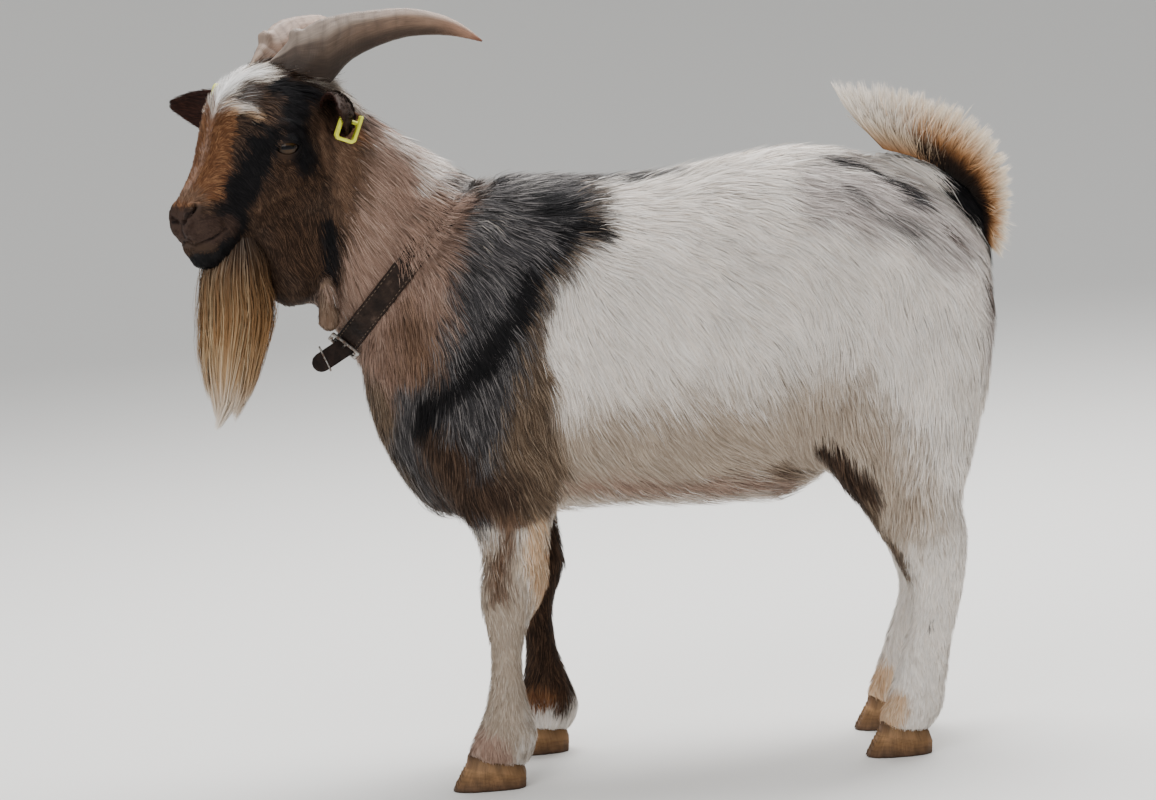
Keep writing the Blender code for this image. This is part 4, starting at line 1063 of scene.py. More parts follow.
# %% Unwrap a light copy
def light_map():
    """A light copy of the skin, unwrapped: its tree, its triangles and each corner's place on the map."""
    copy = placed("light_copy", skin_mesh.copy())
    thin = copy.modifiers.new("thin", "DECIMATE")
    thin.ratio = 9000 / len(SKIN_FACES)
    mesh = bpy.data.meshes.new_from_object(copy.evaluated_get(bpy.context.evaluated_depsgraph_get()))
    bpy.data.objects.remove(copy)
    copy = placed("light_copy", mesh)
    bpy.context.view_layer.objects.active = copy
    copy.select_set(True)
    bpy.ops.object.mode_set(mode="EDIT")
    bpy.ops.mesh.select_all(action="SELECT")
    bpy.ops.mesh.quads_convert_to_tris()
    bpy.ops.uv.smart_project(angle_limit=math.radians(66), island_margin=0.004)
    bpy.ops.object.mode_set(mode="OBJECT")
    corners = np.empty(len(mesh.loops) * 2)
    mesh.uv_layers.active.data.foreach_get("uv", corners)
    faces = np.array([p.vertices[:] for p in mesh.polygons])
    points = points_of(mesh)
    bpy.data.objects.remove(copy)
    return BVHTree.FromPolygons(points.tolist(), faces.tolist()), points, faces, corners.reshape(-1, 3, 2)


MAP_TREE, MAP_POINTS, MAP_FACES, MAP_CORNERS = light_map()


def map_places(points):
    """Where points of the skin lie on the flat map."""
    index = np.array([MAP_TREE.find_nearest(p)[2] for p in points.tolist()])
    a, b, c = (MAP_POINTS[MAP_FACES[index, k]] for k in range(3))
    u, v, w = b - a, c - a, points - a
    uu, uv, vv, wu, wv = ((m * n).sum(1) for m, n in ((u, u), (u, v), (v, v), (w, u), (w, v)))
    below = np.maximum(uu * vv - uv * uv, 1e-18)
    s = np.clip((vv * wu - uv * wv) / below, 0, 1)
    t = np.clip((uu * wv - uv * wu) / below, 0, 1 - s)
    first, second, third = MAP_CORNERS[index].transpose(1, 0, 2)
    return first + s[:, None] * (second - first) + t[:, None] * (third - first)


print("map triangles:", len(MAP_FACES), round(time.time() - STARTED, 1), "s")

# %% [markdown]
# ## Locks of hair
# A lock is a ribbon less than a millimetre wide that starts in the skin, follows the lie of the coat
# and rises slowly to the coat's full depth. Neighbouring ribbons draw together at their tips, which
# gives the coat its streaks.

# %% Roots and strands
TUFT_PATCH = 0.003
SOFT_NORMALS = 2.4
ROOT_PAINTED_SHADE = 0.7  # painted shade: each ribbon is darker towards its root, where the coat shades itself
# Painted light: each ribbon is a little lighter than its hair colour at its tip.
TIP_PAINTED_LIGHT = 1.04
LOCK_TONES = 0.07
ROOT_DEPTH = 0.6 * MM
LOCK_SPACING = 5.0 * MM
TRESS_SPACING = 17 * MM
STRAY = 0.13  # how far a hair parts from the lie of the coat
ROLL = 0.35  # radians that a ribbon is turned about its length


LIDS_BARE = 3.0  # mm round the opening of the eyes


def bare_share(points):
    """Where no hair grows: on the lids' rims, the lips and the nostrils, and thinly on the nose."""
    face = face_shares(points)
    face[:, 1] = np.abs(face[:, 1])
    bare = np.zeros(len(points))
    for path, radius, soft, _ in CREASES:
        bare = np.maximum(bare, stroke(face, path, radius + 2.5, soft))
    bare = np.maximum(bare, 0.3 * stroke(face, ((88, 0, -64), (76, 18, -66)), 12, 8))
    for side in SIDES:
        along, high, out = eye_shares(points, side)
        half, above, below = EYE_OPENING
        reach = np.hypot(along / half, high / np.where(high > 0, above, below))
        edge = (reach - 1) * np.hypot(along, high) / np.maximum(reach, 1e-6)
        bare = np.maximum(bare, (np.abs(out) < 30) * smoothstep(LIDS_BARE + 1.5, LIDS_BARE, edge))
    return bare


def scattered(count, wanted, seed):
    """Random roots on the skin, denser where the hair is small: face indices and corner weights."""
    a, b, c = (FIELDS["point"][SKIN_FACES[:, k]] for k in range(3))
    area = np.linalg.norm(np.cross(b - a, c - a), axis=1) / 2
    size = (FIELDS["length"] * FIELDS["width"])[SKIN_FACES].mean(1)
    weight = area * wanted * (1 - BARE) / size
    draw = np.random.default_rng(seed)
    face = np.searchsorted(np.cumsum(weight) / weight.sum(), draw.random(count))
    face = np.minimum(face, len(SKIN_FACES) - 1)
    mix = draw.random((count, 2))
    mix = np.where(mix.sum(1, keepdims=True) > 1, 1 - mix, mix)
    return face, np.concatenate([1 - mix.sum(1, keepdims=True), mix], 1)


def read(field, face, mix):
    """A field's value at places on the skin."""
    values = FIELDS[field][SKIN_FACES[face]]
    return (values * (mix[:, :, None] if values.ndim == 3 else mix)).sum(1)


def marched(place, face, mix, length, steps, draw):
    """Points of the skin that each hair passes over, with the normals there."""
    places, normals = [place], [unit(read("normal", face, mix))]
    stray = draw.normal(0, STRAY, len(place))[:, None]
    for _ in range(steps):
        lie = FIELDS["lie"][SKIN_FACES[face, 0]]
        lie = unit(lie + np.cross(normals[-1], lie) * stray)
        target = places[-1] + lie * (length / steps)[:, None]
        face = np.array([SKIN_TREE.find_nearest(p)[2] for p in target.tolist()])
        normal = unit(FIELDS["normal"][SKIN_FACES[face]].mean(1))
        above = ((target - FIELDS["point"][SKIN_FACES[face, 0]]) * normal).sum(1)
        places.append(target - normal * above[:, None])
        normals.append(normal)
    return np.stack(places, 1), np.stack(normals, 1)


def locks_of(places, spacing):
    """Groups hairs into locks by nearness: for each hair, the index of its lock's middle hair."""
    cells = np.floor(places / spacing).astype(int)
    first = np.unique(cells, axis=0, return_index=True)[1]
    tree = KDTree(len(first))
    for index in first.tolist():
        tree.insert(places[index], index)
    tree.balance()
    return np.array([tree.find(p)[1] for p in places.tolist()])


# %% Ribbons from strands
RIBBON = np.array([0.9, 1.0, 0.0])


def ribbons(centre, across, shape):
    """Flat ribbons: two points at each step of the strand, and one at the tip."""
    steps = len(shape) - 1
    half = across * (shape[None, :, None] / 2)
    points = np.empty((len(centre), 2 * steps + 1, 3))
    points[:, 0:2 * steps:2] = centre[:, :steps] - half[:, :steps]
    points[:, 1:2 * steps:2] = centre[:, :steps] + half[:, :steps]
    points[:, -1] = centre[:, -1]
    one = [(2 * k + 1, 2 * k, 2 * k + 3) for k in range(steps - 1)]
    one += [(2 * k + 3, 2 * k, 2 * k + 2) for k in range(steps - 1)]
    one += [(2 * steps - 1, 2 * steps - 2, 2 * steps)]
    faces = np.arange(len(centre))[:, None, None] * (2 * steps + 1) + np.array(one)[None]
    side = np.tile([0.0, 1.0], steps).tolist() + [0.5]
    along = np.repeat(np.arange(steps) / steps, 2).tolist() + [1.0]
    return points.reshape(-1, 3), faces.reshape(-1, 3), np.array(side), np.array(along)


def coat_piece(name, strands, across, shape, colours, roots, outward, slot, *solids):
    """One piece of the coat, with its colours and its places on the map of the skin."""
    points, faces, side, along = ribbons(strands, across, shape)
    mesh = mesh_from(name, points, faces)
    per_hair = len(side)
    # Painted shade along each ribbon: darker at its root, a little lighter at its tip.
    shade = ROOT_PAINTED_SHADE + (TIP_PAINTED_LIGHT - ROOT_PAINTED_SHADE) * along
    step_of = np.minimum(np.arange(per_hair) // 2, len(shape) - 1)
    tones = colours[:, step_of] if colours.ndim == 3 else colours[:, None, :]
    coloured(mesh, "pelt", (tones * shade[None, :, None]).reshape(-1, 3))
    patch = np.stack([side - 0.5, along - 0.5], 1) * TUFT_PATCH
    places = (map_places(roots)[:, None, :] + patch[None]).reshape(-1, 2)
    corners = mesh.uv_layers.new(name="OFBake")
    corners.data.foreach_set("uv", np.clip(places[faces.ravel()], 0, 1).astype(np.float32).ravel())
    mesh.materials.append(bpy.data.materials["goat_hair"])
    own = normals_of(mesh)
    skin_normal = outward[:, step_of].reshape(-1, 3)
    own = own * np.sign((own * skin_normal).sum(1))[:, None]
    mesh.normals_split_custom_set_from_vertices(unit(own + SOFT_NORMALS * skin_normal).tolist())
    finished(name, mesh, slot, *solids)


# %% [markdown]
# ## What a hair is made of
# Hair is keratin drawn out into a fibre. Its colour comes from the point colours that each lock
# carries, so one material serves the whole coat.

# %% Hair material
def goat_hair():
    """Keratin fibre: fine, smooth and slightly waxy, so it has a soft broad gloss along its length."""
    tree = new_material("goat_hair")
    colour = node(tree, "ShaderNodeAttribute", attribute_name="pelt")
    shader = node(tree, "ShaderNodeBsdfPrincipled", {
        "Base Color": colour.outputs["Color"], "Roughness": 0.6, "IOR": 1.55,
        "Specular IOR Level": 0.08})
    node(tree, "ShaderNodeOutputMaterial", {"Surface": shader.outputs[0]})


goat_hair()


# %% Grow one region
def grow(name, count, wanted, seed, slot="coat", lift=0.0):
    """Grows the coat of one region from random roots. A lift makes the hairs stand off from their roots."""
    shape = RIBBON
    count = count
    draw = np.random.default_rng(seed)
    face, mix = scattered(count, wanted, seed)
    root = read("point", face, mix)
    length = read("length", face, mix) * draw.uniform(0.65, 1.2, count)
    rise = read("rise", face, mix) * draw.uniform(0.25, 1.0, count)
    width = read("width", face, mix) * draw.uniform(0.7, 1.25, count) * 1.0
    steps = len(shape) - 1
    places, normals = marched(root, face, mix, length, steps, draw)
    share = np.arange(steps + 1) / steps
    height = rise[:, None] * share[None] ** 0.8 - ROOT_DEPTH * (1 - share[None])
    height = height + lift * np.minimum(share[None] * 2.5, 1)
    strands = places + normals * height[:, :, None]
    lock = locks_of(root, LOCK_SPACING)
    tress = locks_of(root, TRESS_SPACING)
    loose = draw.uniform(0.2, 1.0, count)[:, None, None]
    strands = strands + (strands[lock] - strands) * (0.55 * share ** 1.3)[None, :, None] * loose
    strands = strands + (strands[tress] - strands) * (0.16 * share ** 1.5)[None, :, None]
    along = unit(strands[:, 1:] - strands[:, :-1])
    along = np.concatenate([along, along[:, -1:]], 1)
    side = unit(np.cross(normals, along))
    roll = draw.normal(0, ROLL, count)[:, None, None]
    across = (side * np.cos(roll) + np.cross(along, side) * np.sin(roll)) * width[:, None, None]
    lock_draw = np.random.default_rng(seed + 1).random(count)[lock]
    shares = {field: read(field, face, mix) for field in SHARES}
    colours = hair_colours(root, shares, lock_draw, draw.random(count))
    drift = 1 + 0.05 * waves(root, 0.06, 17) + 0.03 * waves(root, 0.02, 18)
    lock_tone = 1 + LOCK_TONES * np.random.default_rng(seed + 2).uniform(-1, 1, count)[lock]
    colours = colours * (drift * lock_tone * draw.uniform(0.93, 1.05, count))[:, None]
    coat_piece(name, strands, across, shape, colours, root, normals, slot)


# %% [markdown]
# ## The coat, region by region
# The coat is one on the live goat. Here it is grown in regions, so that no piece gets too heavy, and
# the markings run over their borders. The mane lifts over the collar.

# %% Where the collar lies
def strap_places():
    """The strap's axle and its middle, from the solid alone: the band is narrow along its axle."""
    points = arrays(NODES["collar_strap"])[0]
    middle = points.mean(0)
    axle = np.linalg.eigh(np.cov((points - middle).T))[1][:, 0]
    axle = axle * np.sign(axle @ FORWARD)
    crest = unit(UP - axle * (UP @ axle))
    return middle, axle, crest


STRAP_MIDDLE, STRAP_AXLE, STRAP_CREST = strap_places()
STRAP_HALF = np.abs((arrays(NODES["collar_strap"])[0] - STRAP_MIDDLE) @ STRAP_AXLE).max()


# %% The coat, region by region
BARE = bare_share(FIELDS["point"][SKIN_FACES].mean(1))


def face_owner():
    """For each triangle of the skin, the index of its node in HIDE."""
    return FIELDS["owner"][SKIN_FACES[:, 0]]


def owned(*words):
    """Which triangles belong to nodes whose names hold one of the words."""
    chosen = [index for index, name in enumerate(HIDE) if any(word in name for word in words)]
    return np.isin(face_owner(), chosen)


FACE_CENTRE = FIELDS["point"][SKIN_FACES].mean(1)
ON_LEFT = FACE_CENTRE[:, 1] < MIDDLE
TRUNK_SPLIT = BOXES["trunk"][0][0] + 0.5 * (BOXES["trunk"][1][0] - BOXES["trunk"][0][0])
IN_FRONT = FACE_CENTRE[:, 0] < TRUNK_SPLIT
HEAD_LEFT = (FACE_CENTRE - BROW) @ ASIDE > 0
MANE_LIFT = 8 * MM
BELLY_LIFT = 5 * MM
BACK_LIFT = 3 * MM
EAR_LIFT = 0.8 * MM
WAY_OUT = FIELDS["normal"][SKIN_FACES].mean(1)
ON_BELLY = (WAY_OUT[:, 2] < -0.55) & (FACE_CENTRE[:, 2] < 0.28)
ON_BACK = (WAY_OUT[:, 2] > 0.6) & (FACE_CENTRE[:, 2] > 0.5)
STRAP_AHEAD = (FACE_CENTRE - STRAP_MIDDLE) @ STRAP_AXLE
BEFORE_STRAP = (STRAP_AHEAD > 0.002) & (STRAP_AHEAD < 0.034)
BEFORE_STRAP = BEFORE_STRAP * smoothstep(0.008, 0.05, (FACE_CENTRE - STRAP_MIDDLE) @ STRAP_CREST) ** 2

grow("coat_face_left", 42000, owned("head") & HEAD_LEFT, 101)
grow("coat_face_right", 36000, owned("head") & ~HEAD_LEFT, 102)
grow("coat_neck", 51000, owned("neck"), 103)
grow("coat_trunk_front_left", 54000, owned("trunk") & IN_FRONT & ON_LEFT, 104)
grow("coat_trunk_front_right", 42000, owned("trunk") & IN_FRONT & ~ON_LEFT, 105)
grow("coat_trunk_rear_left", 53000, owned("trunk") & ~IN_FRONT & ON_LEFT, 106)
grow("coat_trunk_rear_right", 42000, owned("trunk") & ~IN_FRONT & ~ON_LEFT, 107)
grow("coat_thighs", 37000, owned("leg_left_upper", "leg_right_upper"), 108)
grow("coat_shanks_fore", 20000, owned("foreleg_left_lower", "foreleg_right_lower"), 109)
grow("coat_shanks_hind", 22000, owned("hindleg_left_lower", "hindleg_right_lower"), 110)
grow("coat_ears", 7500, owned("ear_"), 111, slot="ear_hair", lift=EAR_LIFT)
grow("coat_wattles", 1800, owned("wattle_"), 112)
grow("coat_mane", 6000, owned("neck") * BEFORE_STRAP, 113, lift=MANE_LIFT)
grow("coat_belly", 3500, owned("trunk") & ON_BELLY, 114, lift=BELLY_LIFT)
grow("coat_back", 3500, owned("trunk", "neck") & ON_BACK, 115, lift=BACK_LIFT)
print("coat grown", round(time.time() - STARTED, 1), "s")


# %% [markdown]
# ## Hair round the horns
# Short hair lies a little way up each horn. It grows from the horn's own points near the skin.

# %% Hair round the horns
HORN_VOXEL = 1.5 * MM
HORN_SHAPES = {side: fine_copy("horn_" + side, HORN_VOXEL, 7) for side in SIDES}
CUFF_HAIRS = 2400  # round each horn
CUFF_REACH = 7 * MM  # from the skin up to the highest root
CUFF_GREY = 0.25


def spine_of(points, bins=28):
    """A curved body's middle line from root to tip: each point's share along it, its middle and its way."""
    tip = points[np.argmax(np.linalg.norm(points - BROW, axis=1))]
    reach = np.linalg.norm(points - tip, axis=1)
    share = 1 - reach / reach.max()
    edges = np.linspace(0, 1, bins + 1)
    groups = [(low, high, points[(share >= low) & (share <= high)]) for low, high in zip(edges, edges[1:])]
    groups = [(low, high, group) for low, high, group in groups if len(group) > 8]
    middles = np.array([group.mean(0) for _, _, group in groups] + [tip])
    spots = np.array([(low + high) / 2 for low, high, _ in groups] + [1])

    def along(table):
        """A value of each bin's middle, given to every point by its share."""
        return np.stack([np.interp(share, spots, row) for row in table.T], 1)

    return share, along(middles), unit(along(unit(np.gradient(middles, axis=0)))), reach.max()


def horn_cuff(side, seed):
    """Short hair that grows close round a horn's foot and lies a little way up it."""
    points, _ = HORN_SHAPES[side]
    share, middle, way, _ = spine_of(points)
    near = [SKIN_TREE.find_nearest(p) for p in points.tolist()]
    skin_place = np.array([found[0] for found in near])
    skin_way = np.array([found[1] for found in near])
    above = ((points - skin_place) * skin_way).sum(1)
    foot = np.flatnonzero((share < 0.4) & (above > 0) & (above < CUFF_REACH))
    draw = np.random.default_rng(seed)
    pick = draw.choice(foot, CUFF_HAIRS)
    out = points[pick] - middle[pick]
    out = unit(out - (out * way[pick]).sum(1)[:, None] * way[pick])
    length = draw.uniform(8, 24, CUFF_HAIRS)[:, None] * MM
    root = skin_place[pick] + out * 1.5 * MM + draw.normal(0, 1.5 * MM, (CUFF_HAIRS, 3))
    lean = unit(way[pick] + 0.25 * out + draw.normal(0, 0.16, (CUFF_HAIRS, 3)))
    half_way = root + lean * length * 0.5 + out * 0.8 * MM
    strands = np.stack([root, half_way, root + lean * length + out * 1.0 * MM], 1)
    lock = locks_of(root, LOCK_SPACING)
    strands = strands + (strands[lock] - strands) * (0.4 * np.array([0, 0.5, 1]))[None, :, None]
    across = unit(np.cross(out, lean))[:, None] * (draw.uniform(0.35, 0.55, CUFF_HAIRS) * MM)[:, None, None]
    across = np.broadcast_to(across, strands.shape)
    shares = {field: np.full(CUFF_HAIRS, float(field == "head")) for field in SHARES}
    lock_draw = draw.random(CUFF_HAIRS)[np.unique(lock, return_inverse=True)[1]]
    colours = hair_colours(root, shares, lock_draw, draw.random(CUFF_HAIRS))
    grey = (draw.random(CUFF_HAIRS) < CUFF_GREY)[:, None]
    colours = np.where(grey, np.array(linear("#8A817A")), colours)
    outward = np.broadcast_to(out[:, None], strands.shape)
    coat_piece("coat_cuff_" + side, strands, across, RIBBON, colours, root, outward, "coat")


for side, seed in (("left", 124), ("right", 125)):
    horn_cuff(side, seed)


# %% [markdown]
# ## The hide
# Goat skin takes the colour of the hair that it bears, only duller. It shows on the lips and the lids.

# %% The hide
def goat_hide():
    """The hide under the coat: matt, slightly greasy skin in the same markings as the hair."""
    tree = new_material("goat_hide")
    colour = node(tree, "ShaderNodeAttribute", attribute_name="pelt")
    shader = node(tree, "ShaderNodeBsdfPrincipled", {
        "Base Color": colour.outputs["Color"], "Roughness": 0.7, "IOR": 1.45,
        "Specular IOR Level": 0.12})
    node(tree, "ShaderNodeOutputMaterial", {"Surface": shader.outputs[0]})


goat_hide()
coloured(skin_mesh, "pelt", skin_colours(FIELDS["point"], FIELDS))
skin_mesh.materials.append(bpy.data.materials["goat_hide"])
dressed(SKIN, "coat", *HIDE)

# %% [markdown]
# ## Long hair: the tail and the beard
# A goat carries its tail up, and its hair fans out: black at the root, then tan, then cream. The beard
# is a bundle of long hairs that hang from the chin and gather towards a point.

# %% Strands between two curves
def blended(stops, share):
    """A colour between stops of (share along, hex colour), for an array of shares."""
    at_share = [stop for stop, _ in stops]
    table = np.array([linear(code) for _, code in stops])
    return np.stack([np.interp(share, at_share, column) for column in table.T], -1)


LONG_TAPER = 0.5  # how much of its width a long hair loses before its point


def long_piece(name, strands, outward, width, tones, solid):
    """Long hairs as ribbons that narrow towards the tip, in place of a solid."""
    steps = strands.shape[1] - 1
    shape = np.concatenate([1 - LONG_TAPER * np.arange(steps) / steps, [0.0]])
    along = unit(strands[:, 1:] - strands[:, :-1])
    along = np.concatenate([along, along[:, -1:]], 1)
    across = unit(np.cross(outward, along)) * width[:, None, None]
    coat_piece(name, strands, across, shape, tones, strands[:, 0], outward, name, solid)


# %% Tail
FRINGE = ((470, 440), (476, 462), (480, 492), (482, 524), (470, 552),
          (443, 578), (404, 596), (366, 606), (326, 611))
TAIL_HAIRS = 9000
TAIL_STEPS = 6
TAIL_ROOT = ((0.0, "#15110E"), (0.24, "#2E2018"), (0.38, "#96653D"),
             (0.52, "#D6AA7E"), (0.74, "#EBD8BE"), (1.0, "#F4ECE0"))
TAIL_FRONT = ((0.0, "#A8764C"), (0.2, "#D8BC9C"), (0.5, "#EADFD0"), (1.0, "#F2EBE2"))


def tail_hair():
    """The tail's fan: each hair runs from the dock towards the fringe's outline."""
    count = TAIL_HAIRS
    draw = np.random.default_rng(301)
    share = draw.beta(1.25, 1.0, count)
    root = along_path(flank_path(DOCK), np.clip(share + draw.normal(0, 0.03, count), 0, 1))
    tip = along_path(flank_path(FRINGE), np.clip(share + draw.normal(0, 0.05, count), 0, 1))
    turn = draw.uniform(-math.pi / 2, math.pi / 2, count)
    reach = draw.uniform(0.35, 1.08, count) ** 0.7
    middle = np.array([0, 1.0, 0])
    root = root + middle * (DOCK_RADIUS * np.sin(turn))[:, None]
    spread = 23 * MM * np.sin(turn) * draw.uniform(0.5, 1.0, count)
    tip = root + (tip - root) * reach[:, None] + middle * spread[:, None]
    t = np.linspace(0, 1, TAIL_STEPS + 1)[None, :, None]
    # Each hair leaves the dock square to it and bends forward over the back.
    run = tip - root
    lean = np.stack([-0.28 * share, np.zeros(count), 0.16 * share + 0.04], 1)
    lean = lean * np.linalg.norm(run, axis=1)[:, None]
    strands = root[:, None] + run[:, None] * t - (lean * np.array([-1, 0, -1]))[:, None] * (t * (1 - t)) * 1.5
    strands = strands + draw.normal(0, 1.0, (count, 1, 3)) * MM * t ** 2 * 2.4
    lock = locks_of(strands[:, -1], 13 * MM)
    strands = strands + (strands[lock] - strands) * 0.6 * t ** 1.5
    outward = np.broadcast_to((middle * np.sign(np.sin(turn))[:, None])[:, None], strands.shape)
    outward = unit(outward + 0.3 * draw.normal(size=(count, 1, 3)))
    along = np.linspace(0, 1, TAIL_STEPS + 1)[None] * reach[:, None]
    back = blended(TAIL_ROOT, along * (1.15 - 0.25 * share[:, None]))
    front = blended(TAIL_FRONT, along)
    forward = smoothstep(0.62, 0.86, share + draw.normal(0, 0.06, count))[:, None, None]
    tones = (back + forward * (front - back)) * draw.uniform(0.8, 1.12, (count, 1, 1))
    width = draw.uniform(0.5, 0.95, count) * MM
    long_piece("tail_hair", strands, outward, width, tones, "tail")


tail_hair()

# %% Beard
BEARD_HAIRS = 8000
BEARD_STEPS = 8
BEARD_CORE = 0.86  # most hairs stay within this share of the outline, and a few stand out to it
BEARD_TRESS = 24 * MM
BEARD_BEND = 3 * MM
# The beard's tones are darker than its hair is in light: partly painted shade, as the beard hangs in the shade
# of the head.
BEARD_TAN = ((0.0, "#4E4038"), (0.2, "#70543A"), (0.5, "#8E6A46"), (0.75, "#B39470"), (1.0, "#E9DFD2"))
BEARD_PALE = ((0.0, "#6E635B"), (0.25, "#94795A"), (0.6, "#B99F7C"), (0.85, "#D9CBB8"), (1.0, "#F1EDE8"))
BEARD_DARK = ((0.0, "#1B1512"), (0.3, "#3A2A1F"), (0.7, "#6A4D34"), (1.0, "#B8A58F"))


def slices(name, heights):
    """The box of a solid's cross-section at each height: its centre and its half-widths."""
    points, faces, _ = arrays(NODES[name])
    starts = np.concatenate([points[faces[:, k]] for k in range(3)])
    ends = np.concatenate([points[faces[:, (k + 1) % 3]] for k in range(3)])
    found = []
    for height in heights:
        cross = (starts[:, 2] - height) * (ends[:, 2] - height) < 0
        a, b = starts[cross], ends[cross]
        cut = a + (b - a) * ((height - a[:, 2]) / (b[:, 2] - a[:, 2]))[:, None]
        found.append((cut.min(0), cut.max(0)))
    low, high = np.array([f[0] for f in found]), np.array([f[1] for f in found])
    return (low + high) / 2, (high - low) / 2


def beard_hair():
    """The beard: hairs that hang inside the solid's outline and gather in tresses."""
    count = BEARD_HAIRS
    draw = np.random.default_rng(302)
    low, high = BOXES["beard"]
    heights = np.linspace(high[2] - 1 * MM, low[2] + 1 * MM, 25)
    centre, half = slices("beard", heights)
    angle = draw.uniform(0, 2 * math.pi, count)
    radius = np.sqrt(draw.uniform(0.05, 1.0, count)) * np.where(draw.random(count) < 0.8, BEARD_CORE, 1.0)
    ends = np.clip(draw.beta(4.2, 1.4, count) * (1.05 - 0.25 * radius * draw.random(count)), 0.25, 1.0)
    starts = -0.06 + 0.05 * draw.random(count)
    t = np.linspace(0, 1, BEARD_STEPS + 1)
    drop = starts[:, None] + (ends - starts)[:, None] * t[None]
    index = np.clip(drop, 0, 1) * 24

    def look(table, axis):
        """A slice's value at each step of each hair."""
        return np.interp(index, np.arange(25), table[:, axis])

    wave = 1 + 0.10 * np.sin(drop * 9 + draw.uniform(0, 6.28, count)[:, None])
    x = look(centre, 0) + look(half, 0) * np.cos(angle)[:, None] * radius[:, None] * wave
    y = look(centre, 1) + look(half, 1) * np.sin(angle)[:, None] * radius[:, None] * wave
    above = heights[0] + (heights[0] - heights[1]) * np.arange(3, 0, -1)
    z = np.interp(drop * 24, np.arange(-3, 25), np.concatenate([above, heights]))
    strands = np.stack([x, y, z], -1)
    lock = locks_of(strands[:, 5], 8 * MM)
    tress = locks_of(strands[:, -1], BEARD_TRESS)
    strands = strands + (strands[lock] - strands) * (0.5 * t ** 1.2)[None, :, None]
    strands = strands + (strands[tress] - strands) * (0.45 * t ** 2)[None, :, None]
    bend = np.random.default_rng(304).normal(0, BEARD_BEND, (count, 1, 2))[tress]
    strands[:, :, :2] += bend * (t ** 2)[None, :, None]
    outward = np.stack([np.cos(angle), np.sin(angle), np.zeros(count)], 1)[:, None] + np.zeros_like(strands)
    outward = unit(outward + 0.3 * draw.normal(size=(count, 1, 3)))
    tan, pale, dark = (blended(stops, drop) for stops in (BEARD_TAN, BEARD_PALE, BEARD_DARK))
    pick = np.random.default_rng(303).random(count)[lock] * 0.5 + draw.random(count) * 0.5
    to_front = -np.cos(angle)
    pale_share = (pick < 0.34 + 0.22 * to_front)[:, None, None]
    dark_share = (pick > 0.86 + 0.08 * to_front)[:, None, None]
    tones = np.where(pale_share, pale, np.where(dark_share, dark, tan))
    tones = tones * draw.uniform(0.85, 1.12, (count, 1, 1))
    width = draw.uniform(0.5, 0.95, count) * MM
    long_piece("beard_hair", strands, outward, width, tones, "beard")


beard_hair()

# %% [markdown]
# ## Eyes
# A goat's eye is a wet ball with an amber iris and a pupil like a level bar. The ball fills the socket
# behind the lids, and looks outward and a little forward.

# %% Eyes
PUPIL_HALF = (6.3 * MM, 1.8 * MM)
IRIS_EDGE = 10.32 * MM  # where the white of the eye begins, out of sight behind the lids
# The iris tones are dark browns, darker than a goat's amber iris in light: painted shade, as from the heavy
# upper lid.
SHADED_IRIS_TONES = ((0.0, "#3E2C1A"), (0.417, "#3A2917"), (0.708, "#21170E"), (0.833, "#0E0A08"), (1.0, "#221A16"))


def goat_eye():
    """Cornea over iris, wetted by the lids, so almost a mirror: index 1.376, that of the cornea."""
    tree = new_material("goat_eye")
    place = node(tree, "ShaderNodeTexCoord")
    split = node(tree, "ShaderNodeSeparateXYZ", {"Vector": place.outputs["Object"]})
    powers = []
    for socket, half in zip(("X", "Y"), PUPIL_HALF):
        size = node(tree, "ShaderNodeMath", {0: split.outputs[socket]}, operation="ABSOLUTE")
        share = node(tree, "ShaderNodeMath", {0: size.outputs[0], 1: half}, operation="DIVIDE")
        powers.append(node(tree, "ShaderNodeMath", {0: share.outputs[0], 1: 4.0}, operation="POWER"))
    bar = node(tree, "ShaderNodeMath", {0: powers[0].outputs[0], 1: powers[1].outputs[0]}, operation="ADD")
    edge = node(tree, "ShaderNodeMapRange", {"Value": bar.outputs[0], "From Min": 0.7, "From Max": 1.5})
    flat = node(tree, "ShaderNodeCombineXYZ", {"X": split.outputs["X"], "Y": split.outputs["Y"]})
    reach = node(tree, "ShaderNodeVectorMath", {0: flat.outputs[0]}, operation="LENGTH")
    inward = node(tree, "ShaderNodeMapRange", {"Value": reach.outputs["Value"], "From Max": IRIS_EDGE})
    iris = node(tree, "ShaderNodeValToRGB", {"Fac": inward.outputs[0]}, stops=SHADED_IRIS_TONES).outputs[0]
    spoke = node(tree, "ShaderNodeVectorMath", {0: flat.outputs[0]}, operation="NORMALIZE")
    grain = node(tree, "ShaderNodeTexNoise", {"Vector": spoke.outputs[0], "Scale": 9.0, "Detail": 6.0})
    depth = node(tree, "ShaderNodeMapRange", {"Value": grain.outputs[0], "To Min": 0.45, "To Max": 1.35})
    streaked = node(tree, "ShaderNodeMix", {"Factor": 1.0, 6: iris, 7: depth.outputs[0]},
                    data_type="RGBA", blend_type="MULTIPLY")
    colour = node(tree, "ShaderNodeMix", {"Factor": edge.outputs[0], 6: linear("#08070A") + [1],
                                          7: streaked.outputs[2]}, data_type="RGBA")
    shader = node(tree, "ShaderNodeBsdfPrincipled", {
        "Base Color": colour.outputs[2], "Roughness": 0.1, "IOR": 1.376,
        "Specular IOR Level": 0.32})
    node(tree, "ShaderNodeOutputMaterial", {"Surface": shader.outputs[0]})


